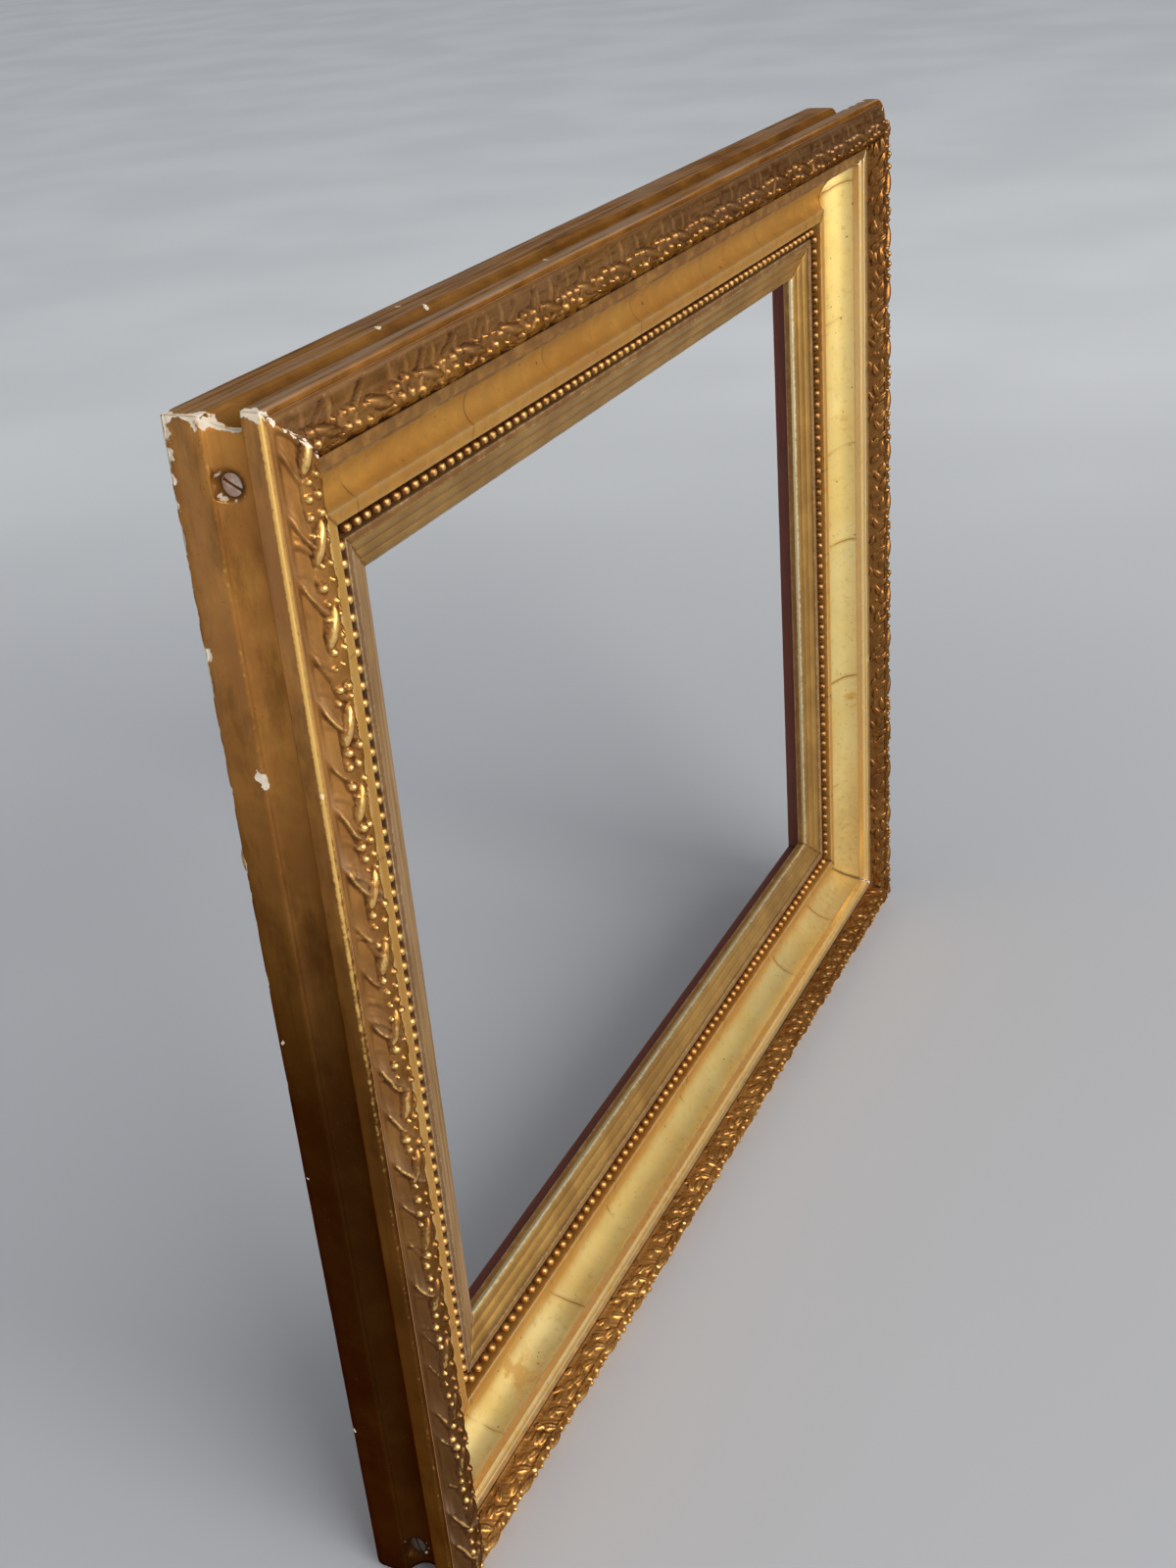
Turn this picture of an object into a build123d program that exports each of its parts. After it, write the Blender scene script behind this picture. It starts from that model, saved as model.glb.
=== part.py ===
"""Gilded picture frame: a built-up mitred moulding with bead rows, leaf strips and hanging rings.

The part stands on its bottom edge with its front towards -Y, +X to the right and +Z up.
The origin is the centre of the base of the whole part's box. All sizes are in millimetres.
A section is drawn in two directions: d runs outward from the sight edge, and t runs forward
from the back plane. Each rail is that section extruded along its side and mitred at both ends.
"""
from build123d import *
import math
import os

# Opening that shows the picture
SIGHT_WIDTH = 400.0
SIGHT_HEIGHT = 323.0

# Members of the moulding, outward from the sight edge
SLIP_WIDTH = 16.0
BEAD_CHANNEL_WIDTH = 7.0
LISTEL_WIDTH = 5.0
COVE_WIDTH = 19.0
STEP_WIDTH = 6.0
LEAF_WIDTH = 19.5
EDGE_FILLET_WIDTH = 2.5

# Rebate that holds the picture from behind
REBATE_WIDTH = 8.0
REBATE_DEPTH = 9.0
SLIP_SEAT_STEP = 0.5

# Reeded sight slip
LIP_THICKNESS = 3.9
SLIP_THICKNESS = 9.2
REED_COUNT = 3
REED_BULGE = 0.7
SLIP_CROWN_WIDTH = 3.0

# Front of the cove rail: heights above the back plane, and the drop from the listel
LISTEL_HEIGHT = 21.2
CHANNEL_DEPTH = 5.7
COVE_DROP = 3.4
COVE_INNER_WIDTH = 9.5
COVE_SAG = 1.9
COVE_TOP_HEIGHT = 30.6

# Front of the outer rail
STEP_RISE = 1.8
STEP_TREAD = 1.5
QUIRK_WIDTH = 1.4
LEAF_SEAT_HEIGHT = 34.3
QUIRK_DEPTH = 1.0

# Outer side of the outer rail
EDGE_FACE = 7.1
SIDE_COVE_RECESS = 5.5
SIDE_COVE_SAG = 2.7
BACK_BAND_HEIGHT = 14.5
BACK_BAND_INSET = 3.5
BACK_BAND_ROUND = 3.0
BAND_NOSE = 1.2

# Leaf strip
LEAF_CREST_RISE = 9.2
LEAF_CREST_INSET = 5.5
LEAF_OUTER_RISE = 4.1
LEAF_WALL_BULGE = 1.0
LEAF_CROWN = 1.1

# Bead strip
BEAD_RADIUS = 2.25
BEAD_GAP = 1.4
BEAD_SIDES = 6
BEAD_RISE = 3.4
BEAD_SHOULDER_RISE = 1.5
BEAD_SHOULDER_RADIUS = 2.05
BEAD_TOP_RADIUS = 1.0
BEAD_BASE = 1.2
BEAD_SIDE_CLEARANCE = 0.8

# Corner screws
SCREW_HEAD_RADIUS = 3.5
SCREW_HEAD_HEIGHT = 2.6
SCREW_SHANK_RADIUS = 2.1
SCREW_LENGTH = 38.0
SCREW_POINT = 5.0
SCREW_SLOT_WIDTH = 1.0
SCREW_SLOT_DEPTH = 1.0
SCREW_BASE_DISTANCE = 17.0
SCREW_TOP_DISTANCE = 24.4
SCREW_HEIGHT = 18.8
SCREW_CLEARANCE = 0.1
SCREW_FACETS = 12

# Screw eyes and hanging rings
EYE_WIRE_RADIUS = 1.2
EYE_HOLE_RADIUS = 2.8
EYE_STAND_OFF = 1.0
EYE_SHANK_LENGTH = 14.0
EYE_HEIGHT = 330.0
EYE_EDGE_DISTANCE = 22.0
RING_WIRE_RADIUS = 1.0
RING_HOLE_RADIUS = 8.0
RING_SEAT_CLEARANCE = 0.3
EYE_FACETS = 16
RING_FACETS = 24

# Places that follow from the sizes above
CHANNEL_IN = SLIP_WIDTH
LISTEL_IN = CHANNEL_IN + BEAD_CHANNEL_WIDTH
COVE_IN = LISTEL_IN + LISTEL_WIDTH
OUTER_IN = COVE_IN + COVE_WIDTH
LEAF_IN = OUTER_IN + STEP_WIDTH
EDGE_IN = LEAF_IN + LEAF_WIDTH
RAIL_WIDTH = EDGE_IN + EDGE_FILLET_WIDTH
OUTER_WIDTH = SIGHT_WIDTH + 2 * RAIL_WIDTH
OUTER_HEIGHT = SIGHT_HEIGHT + 2 * RAIL_WIDTH
SLIP_SEAT_HEIGHT = REBATE_DEPTH + SLIP_SEAT_STEP
CREST_HEIGHT = LEAF_SEAT_HEIGHT + LEAF_CREST_RISE
EDGE_HEIGHT = LEAF_SEAT_HEIGHT + LEAF_OUTER_RISE
EYE_RING_RADIUS = EYE_HOLE_RADIUS + EYE_WIRE_RADIUS
EYE_BEHIND = EYE_STAND_OFF + EYE_WIRE_RADIUS + EYE_RING_RADIUS
EYE_REACH = EYE_BEHIND + EYE_RING_RADIUS + EYE_WIRE_RADIUS
BACK_Y = (CREST_HEIGHT - EYE_REACH) / 2
CENTRE_Z = OUTER_HEIGHT / 2

# Outward direction and sight length of each side
SIDES = {
    "top": ((0, 0, 1), SIGHT_WIDTH),
    "right": ((1, 0, 0), SIGHT_HEIGHT),
    "bottom": ((0, 0, -1), SIGHT_WIDTH),
    "left": ((-1, 0, 0), SIGHT_HEIGHT),
}


def side_plane(side):
    """Plane of a rail's section: x is d, y is t, z runs clockwise round the frame."""
    outward = Vector(*SIDES[side][0])
    sight_edge = Vector(outward.X * SIGHT_WIDTH / 2, BACK_Y, CENTRE_Z + outward.Z * SIGHT_HEIGHT / 2)
    return Plane(origin=sight_edge, x_dir=outward, z_dir=outward.cross(Vector(0, -1, 0)))


def mitre_block(sight_length):
    """Prism between the two mitre planes of a rail, in the section's own directions."""
    over = RAIL_WIDTH / 2
    near = -over
    far = RAIL_WIDTH + over
    half = sight_length / 2
    outline = Polyline(
        (near, -half - near), (far, -half - far), (far, half + far), (near, half + near), close=True
    )
    return Rot(-90, 0, 0) * extrude(make_face(outline), 2 * CREST_HEIGHT, both=True)


def mitred(section, sight_length):
    """A section extruded along one side and cut to both mitre planes."""
    bar = extrude(section, sight_length / 2 + RAIL_WIDTH, both=True)
    return bar & mitre_block(sight_length)


def arc_by_bulge(start, end, bulge):
    """Arc between two points that stands off their chord by bulge, to the left of the run."""
    run = Vector(*end) - Vector(*start)
    left = Vector(-run.Y, run.X).normalized()
    middle = (Vector(*start) + Vector(*end)) * 0.5 + left * bulge
    return ThreePointArc(start, (middle.X, middle.Y), end)


def slip_section():
    """Sight slip: a lip over the rebate, rising reeds, a flat crown, and a step that seats it."""
    lip_top = REBATE_DEPTH + LIP_THICKNESS
    crown = REBATE_DEPTH + SLIP_THICKNESS
    reeds_out = SLIP_WIDTH - SLIP_CROWN_WIDTH
    reeds_rise = (crown - lip_top) * reeds_out / SLIP_WIDTH
    steps = [
        (reeds_out * k / REED_COUNT, lip_top + reeds_rise * k / REED_COUNT)
        for k in range(REED_COUNT + 1)
    ]
    lines = [Line((0, REBATE_DEPTH), steps[0])]
    lines += [arc_by_bulge(a, b, REED_BULGE) for a, b in zip(steps, steps[1:])]
    lines += [Polyline(
        steps[-1], (reeds_out, crown), (SLIP_WIDTH, crown), (SLIP_WIDTH, SLIP_SEAT_HEIGHT),
        (REBATE_WIDTH, SLIP_SEAT_HEIGHT), (REBATE_WIDTH, REBATE_DEPTH), (0, REBATE_DEPTH),
    )]
    return make_face(lines)


def cove_section():
    """Cove rail: rebate wall, slip seat, bead channel, listel and the deep hollow."""
    floor = LISTEL_HEIGHT - CHANNEL_DEPTH
    meeting = (COVE_IN + COVE_INNER_WIDTH, LISTEL_HEIGHT - COVE_DROP)
    outer = arc_by_bulge(meeting, (OUTER_IN, COVE_TOP_HEIGHT), -COVE_SAG)
    inner = TangentArc(meeting, (COVE_IN, LISTEL_HEIGHT), tangent=-(outer % 0))
    front = Polyline(
        (REBATE_WIDTH, 0), (REBATE_WIDTH, SLIP_SEAT_HEIGHT), (SLIP_WIDTH, SLIP_SEAT_HEIGHT),
        (SLIP_WIDTH, floor), (LISTEL_IN, floor), (LISTEL_IN, LISTEL_HEIGHT), (COVE_IN, LISTEL_HEIGHT),
    )
    back = Polyline((OUTER_IN, COVE_TOP_HEIGHT), (OUTER_IN, 0), (REBATE_WIDTH, 0))
    return make_face([front, inner, outer, back])


def outer_section():
    """Outer rail: two steps, quirk and leaf seat in front, edge fillet, side cove and back band."""
    step_one = LEAF_SEAT_HEIGHT + QUIRK_DEPTH - STEP_RISE
    step_two = LEAF_SEAT_HEIGHT + QUIRK_DEPTH
    cove_d = RAIL_WIDTH - SIDE_COVE_RECESS
    edge_under = EDGE_HEIGHT - EDGE_FACE
    front = Polyline(
        (OUTER_IN, 0), (OUTER_IN, step_one), (OUTER_IN + STEP_TREAD, step_one),
        (OUTER_IN + STEP_TREAD, step_two), (LEAF_IN - QUIRK_WIDTH, step_two),
        (LEAF_IN - QUIRK_WIDTH, LEAF_SEAT_HEIGHT), (EDGE_IN, LEAF_SEAT_HEIGHT), (EDGE_IN, EDGE_HEIGHT),
        (RAIL_WIDTH, EDGE_HEIGHT), (RAIL_WIDTH, edge_under), (cove_d, edge_under),
    )
    hollow = arc_by_bulge((cove_d, edge_under), (cove_d, BACK_BAND_HEIGHT), -SIDE_COVE_SAG)
    band_d = RAIL_WIDTH - BACK_BAND_INSET
    band_top = Line((cove_d, BACK_BAND_HEIGHT), (band_d - BAND_NOSE, BACK_BAND_HEIGHT))
    nose = RadiusArc(
        (band_d - BAND_NOSE, BACK_BAND_HEIGHT), (band_d, BACK_BAND_HEIGHT - BAND_NOSE), BAND_NOSE
    )
    band = Line((band_d, BACK_BAND_HEIGHT - BAND_NOSE), (band_d, BACK_BAND_ROUND))
    heel = RadiusArc((band_d, BACK_BAND_ROUND), (band_d - BACK_BAND_ROUND, 0), BACK_BAND_ROUND)
    back = Line((band_d - BACK_BAND_ROUND, 0), (OUTER_IN, 0))
    return make_face([front, hollow, band_top, nose, band, heel, back])


def leaf_section():
    """Leaf strip: a steep inner wall up to the crest, then a crowned slope down to the edge fillet."""
    crest = (LEAF_IN + LEAF_CREST_INSET, CREST_HEIGHT)
    wall = arc_by_bulge((LEAF_IN, LEAF_SEAT_HEIGHT), crest, LEAF_WALL_BULGE)
    slope = arc_by_bulge(crest, (EDGE_IN, LEAF_SEAT_HEIGHT + LEAF_OUTER_RISE), LEAF_CROWN)
    base = Polyline(
        (EDGE_IN, LEAF_SEAT_HEIGHT + LEAF_OUTER_RISE), (EDGE_IN, LEAF_SEAT_HEIGHT),
        (LEAF_IN, LEAF_SEAT_HEIGHT),
    )
    return make_face([wall, slope, base])


def tapered(start_radius, end_radius, length, sides):
    """Even-sided prism along +Z that narrows or widens from one corner radius to the other."""
    inset = (start_radius - end_radius) * math.cos(math.pi / sides)
    taper = math.degrees(math.atan2(inset, length))
    return extrude(RegularPolygon(start_radius, sides), length, taper=taper)


def bead_strip(sight_length):
    """Flat base in the channel with a row of beads, evenly spaced between the mitres."""
    floor = LISTEL_HEIGHT - CHANNEL_DEPTH
    inner = CHANNEL_IN + BEAD_SIDE_CLEARANCE
    outer = LISTEL_IN - BEAD_SIDE_CLEARANCE
    row_d = (inner + outer) / 2
    base = mitred(
        make_face(Polyline(
            (inner, floor), (inner, floor + BEAD_BASE), (outer, floor + BEAD_BASE), (outer, floor),
            close=True,
        )),
        sight_length,
    )
    row_length = sight_length + 2 * (row_d - BEAD_RADIUS)
    count = int((row_length - 2 * BEAD_RADIUS) / (2 * BEAD_RADIUS + BEAD_GAP)) + 1
    pitch = (row_length - 2 * BEAD_RADIUS) / (count - 1)
    shoulder = tapered(BEAD_RADIUS, BEAD_SHOULDER_RADIUS, BEAD_SHOULDER_RISE, BEAD_SIDES)
    dome = tapered(BEAD_SHOULDER_RADIUS, BEAD_TOP_RADIUS, BEAD_RISE - BEAD_SHOULDER_RISE, BEAD_SIDES)
    seated = Rot(-90, 0, 0) * (shoulder + Pos(0, 0, BEAD_SHOULDER_RISE) * dome)
    row = [
        Pos(row_d, floor + BEAD_BASE, (k - (count - 1) / 2) * pitch) * seated for k in range(count)
    ]
    return base + row


def screw_body(grow=0.0):
    """Countersunk wood screw along -Z, head's face at the origin, widened by grow all round."""
    shank = SCREW_SHANK_RADIUS + grow
    plain = SCREW_LENGTH - SCREW_HEAD_HEIGHT - SCREW_POINT
    head = tapered(SCREW_HEAD_RADIUS + grow, shank, SCREW_HEAD_HEIGHT, SCREW_FACETS)
    stem = tapered(shank, shank, plain, SCREW_FACETS)
    point = tapered(shank, shank / SCREW_FACETS, SCREW_POINT, SCREW_FACETS)
    body = head + Pos(0, 0, SCREW_HEAD_HEIGHT) * stem + Pos(0, 0, SCREW_HEAD_HEIGHT + plain) * point
    return Rot(180, 0, 0) * body


def screw_hole():
    """Hole of a corner screw, with the mouth that its head went in by."""
    mouth = tapered(
        SCREW_HEAD_RADIUS + SCREW_CLEARANCE, SCREW_HEAD_RADIUS + SCREW_CLEARANCE,
        SIDE_COVE_RECESS + SIDE_COVE_SAG, SCREW_FACETS,
    )
    end = Pos(0, 0, -SCREW_CLEARANCE) * screw_body(SCREW_CLEARANCE)
    return screw_body(SCREW_CLEARANCE) + mouth + end


def slotted_screw():
    """Corner screw with its driver slot."""
    slot = Box(3 * SCREW_HEAD_RADIUS, SCREW_SLOT_WIDTH, 2 * SCREW_SLOT_DEPTH)
    return screw_body() - slot


def screw_places():
    """Places of the four corner screws, driven inward through the side rails' coves."""
    face = OUTER_WIDTH / 2 - SIDE_COVE_RECESS - SIDE_COVE_SAG - SCREW_CLEARANCE
    places = []
    for hand in (-1, 1):
        for z in (SCREW_BASE_DISTANCE, OUTER_HEIGHT - SCREW_TOP_DISTANCE):
            plane = Plane(
                origin=(hand * face, BACK_Y - SCREW_HEIGHT, z), x_dir=(0, 0, 1), z_dir=(hand, 0, 0)
            )
            places.append(plane.location)
    return places


def eye_centre(hand):
    """Centre of a screw eye's loop, behind the back plane of a side rail."""
    return Vector(hand * (OUTER_WIDTH / 2 - EYE_EDGE_DISTANCE), BACK_Y + EYE_BEHIND, EYE_HEIGHT)


def eye_shank(hand, radius, length):
    """Shank of a screw eye, from the loop's wire forward into the rail."""
    start = eye_centre(hand) - Vector(0, EYE_RING_RADIUS, 0)
    depth = EYE_BEHIND - EYE_RING_RADIUS + length
    return Plane(origin=start, z_dir=(0, -1, 0)) * tapered(radius, radius, depth, SCREW_FACETS)


def wire_ring(hole_radius, wire_radius, facets):
    """Ring of wire in the XY plane: flat facets round the loop, and eight round the wire."""
    outer = RegularPolygon(hole_radius + 2 * wire_radius, facets)
    hole = RegularPolygon(hole_radius, facets, major_radius=False)
    band = extrude(outer - hole, wire_radius, both=True)
    rims = band.edges().filter_by(Plane.XY)
    return chamfer(rims, wire_radius * (2 - math.sqrt(2)))


def screw_eye(hand):
    """Wire loop across the rail's back with its shank in the wood."""
    loop = wire_ring(EYE_HOLE_RADIUS, EYE_WIRE_RADIUS, EYE_FACETS)
    seated = Plane(origin=eye_centre(hand), z_dir=(1, 0, 0)) * loop
    return seated + eye_shank(hand, EYE_WIRE_RADIUS, EYE_SHANK_LENGTH)


def ring_pivot(hand):
    """Centre of the ring's wire where it hangs in the eye's loop."""
    drop = EYE_HOLE_RADIUS - RING_WIRE_RADIUS - RING_SEAT_CLEARANCE
    return eye_centre(hand) - Vector(0, 0, drop)


def hanging_ring(hand):
    """Loose ring that hangs flat behind the rail, its wire through the screw eye."""
    centre = ring_pivot(hand) - Vector(0, 0, RING_HOLE_RADIUS + RING_WIRE_RADIUS)
    return Plane(origin=centre, z_dir=(0, 1, 0)) * wire_ring(RING_HOLE_RADIUS, RING_WIRE_RADIUS, RING_FACETS)


def build_nodes():
    """All the nodes of the frame by name."""
    nodes = {}
    for side, (_, sight_length) in SIDES.items():
        place = side_plane(side)
        nodes[f"{side}_outer_rail"] = place * mitred(outer_section(), sight_length)
        nodes[f"{side}_cove_rail"] = place * mitred(cove_section(), sight_length)
        nodes[f"{side}_sight_slip"] = place * mitred(slip_section(), sight_length)
        nodes[f"{side}_leaf_strip"] = place * mitred(leaf_section(), sight_length)
        nodes[f"{side}_bead_strip"] = place * bead_strip(sight_length)
    places = screw_places()
    screw_holes = [place * screw_hole() for place in places]
    for side in SIDES:
        nodes[f"{side}_outer_rail"] -= screw_holes
    nodes["corner_screws"] = Compound([place * slotted_screw() for place in places])
    for side, hand in (("left", -1), ("right", 1)):
        pilot = eye_shank(hand, EYE_WIRE_RADIUS + SCREW_CLEARANCE, EYE_SHANK_LENGTH + SCREW_CLEARANCE)
        nodes[f"{side}_outer_rail"] -= pilot
        nodes[f"{side}_hanging_ring"] = hanging_ring(hand)
    nodes["screw_eyes"] = Compound([screw_eye(-1), screw_eye(1)])
    return nodes


os.makedirs("parts", exist_ok=True)
for name, shape in build_nodes().items():
    export_step(shape, f"parts/{name}.step")
pivot = ring_pivot(1)
print("outer size", OUTER_WIDTH, OUTER_HEIGHT, "depth", CREST_HEIGHT, "back plane y", BACK_Y)
print("right ring pivot", pivot.X, pivot.Y, pivot.Z)
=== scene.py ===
# %% [markdown]
# # A gilded picture frame, dressed in Blender
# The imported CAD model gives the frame's pieces, places and joints. This lesson gives each piece
# its finished surface: burnished gold on the cove, toned bronze on the pressed leaves and beads,
# worn gilding on the outer mouldings, bare softwood behind, and aged brass for the hangers.
# All the surfaces are worked out as numpy arrays in millimetres and stored in metres.

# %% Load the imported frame
from functools import reduce
import bpy
import numpy as np
from mathutils import Matrix, Vector


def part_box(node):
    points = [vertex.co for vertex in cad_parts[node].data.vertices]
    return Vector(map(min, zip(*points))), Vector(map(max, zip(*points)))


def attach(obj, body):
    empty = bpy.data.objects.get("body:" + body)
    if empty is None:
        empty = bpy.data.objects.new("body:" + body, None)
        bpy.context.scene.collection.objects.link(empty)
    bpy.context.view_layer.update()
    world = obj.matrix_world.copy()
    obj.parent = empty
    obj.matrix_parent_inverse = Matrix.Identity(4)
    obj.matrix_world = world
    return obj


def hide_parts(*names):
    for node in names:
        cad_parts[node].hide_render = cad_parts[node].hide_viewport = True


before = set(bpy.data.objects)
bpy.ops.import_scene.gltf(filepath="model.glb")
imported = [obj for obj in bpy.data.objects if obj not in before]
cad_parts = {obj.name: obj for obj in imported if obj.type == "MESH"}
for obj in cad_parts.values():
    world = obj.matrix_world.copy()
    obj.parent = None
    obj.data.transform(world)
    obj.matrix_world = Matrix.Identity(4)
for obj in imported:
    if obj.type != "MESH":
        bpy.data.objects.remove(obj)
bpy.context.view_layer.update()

# %% [markdown]
# ## Where things are
# A moulding is a flat section carried along each side of the sight opening and cut at 45 degrees.
# A point of the section has two sizes: d, outward from the sight edge, and t, forward from the
# back plane. A third, s, runs clockwise along the side. The size of the opening comes from the
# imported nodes, so the dressed pieces fall exactly where the solids are. The sizes that several
# sections share are named here.

# %% Sizes and sides
MM = 0.001
REBATE_OUT = 8.0
SLIP_WIDTH = 16.0
COVE_OUT = 47.0
LEAF_OUT = 72.5
RAIL_WIDTH = 75.0
SLIP_SEAT = 9.5
CHANNEL_FLOOR = 15.5
LEAF_SEAT = 34.3
EDGE_TOP = 38.4
MITRE_GAP = 0.1
SIDES = {
    "top": ((0, 0, 1), (1, 0, 0)),
    "right": ((1, 0, 0), (0, 0, -1)),
    "bottom": ((0, 0, -1), (-1, 0, 0)),
    "left": ((-1, 0, 0), (0, 0, 1)),
}
slip_low, slip_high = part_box("top_sight_slip")
rail_low, rail_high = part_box("left_outer_rail")
SIGHT_WIDTH = (slip_high.x - slip_low.x) / MM - 2 * SLIP_WIDTH
SIGHT_HEIGHT = (rail_high.z - rail_low.z) / MM - 2 * RAIL_WIDTH
BACK_Y = rail_high.y / MM
CENTRE_Z = (rail_high.z + rail_low.z) / MM / 2


def half_sight(side):
    """Half the sight length along a side, in millimetres."""
    return SIGHT_WIDTH / 2 if side in ("top", "bottom") else SIGHT_HEIGHT / 2


def place(side, s, d, t):
    """Points in metres: outward times (half opening + d), plus run times s, at depth back minus t."""
    outward, run = np.array(SIDES[side], float)
    s, d, t = np.broadcast_arrays(s, d, t)
    across_opening = SIGHT_HEIGHT / 2 if side in ("top", "bottom") else SIGHT_WIDTH / 2
    points = (across_opening + d)[..., None] * outward + s[..., None] * run
    points[..., 1] = BACK_Y - t
    points[..., 2] += CENTRE_Z
    return points * MM


print("sight", round(SIGHT_WIDTH, 2), round(SIGHT_HEIGHT, 2), "back", round(BACK_Y, 2))

# %% [markdown]
# ## Camera, light and floor
# The camera stands up and to the left, close to the near corner, and is rolled a little. A large
# soft lamp in front and to the left does most of the work, with a weaker one straight in front,
# because gold looks like what it reflects: the broad lamps and the pale floor give the cove its
# long calm highlights. The floor is paper with painted shade: darker near the frame, a painted
# shadow round it, paler behind the frame, and painted darker well in front of it, under the lamps.

# %% Camera and stage
CAMERA_PLACE = (-0.65867, -0.31452, 0.60325)
CAMERA_RIGHT = (0.430983, -0.899073, -0.076953)
CAMERA_UP = (0.450160, 0.140312, 0.881855)
CAMERA_BACK = (-0.782055, -0.414706, 0.465199)
camera_data = bpy.data.cameras.new("view_camera")
camera_data.sensor_width = 36.0
camera_data.lens = 41.654
camera_data.clip_start = 0.01
camera = bpy.data.objects.new("view_camera", camera_data)
bpy.context.scene.collection.objects.link(camera)
turn = Matrix((CAMERA_RIGHT, CAMERA_UP, CAMERA_BACK)).transposed()
camera.matrix_world = Matrix.Translation(CAMERA_PLACE) @ turn.to_4x4()
bpy.context.scene.camera = camera
bpy.context.scene.view_settings.view_transform = "Standard"


def soft_lamp(name, centre, aim, size, power, colour):
    """Square area lamp at centre, turned so that it shines at aim."""
    data = bpy.data.lights.new(name, "AREA")
    data.size = size
    data.energy = power
    data.color = colour
    lamp = bpy.data.objects.new(name, data)
    lamp.location = centre
    direction = Vector(aim) - Vector(centre)
    lamp.rotation_euler = direction.to_track_quat("-Z", "Y").to_euler()
    bpy.context.scene.collection.objects.link(lamp)


MIDDLE = (0.0, 0.0, 0.24)
soft_lamp("window_softbox", (-1.60, -3.70, 2.06), MIDDLE, 3.0, 154.0, (1.0, 0.96, 0.90))
soft_lamp("front_reflector", (0.60, -4.00, 1.56), MIDDLE, 2.8, 32.0, (1.0, 0.97, 0.92))

FLOOR_HALF = 40.0
FLOOR_DROP = 0.0003
floor_mesh = bpy.data.meshes.new("floor")
floor_corners = np.array([(-1, -1), (1, -1), (1, 1), (-1, 1)], float) * FLOOR_HALF
floor_points = np.column_stack([floor_corners, np.full(4, -FLOOR_DROP)])
floor_mesh.from_pydata(floor_points.tolist(), [], [(0, 1, 2, 3)])
floor = bpy.data.objects.new("floor", floor_mesh)
bpy.context.scene.collection.objects.link(floor)
print("camera at", CAMERA_PLACE, "floor half width", FLOOR_HALF)

# %% [markdown]
# ## A short way to write materials
# Every finish is a small graph of shader nodes. The helper below makes a node, fills its inputs
# and links any input that is given another node's output, so a finish reads like a recipe. The sky
# is such a graph too, brighter towards the lamps, and the floor's paper is the first finish.

# %% Material helpers


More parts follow.
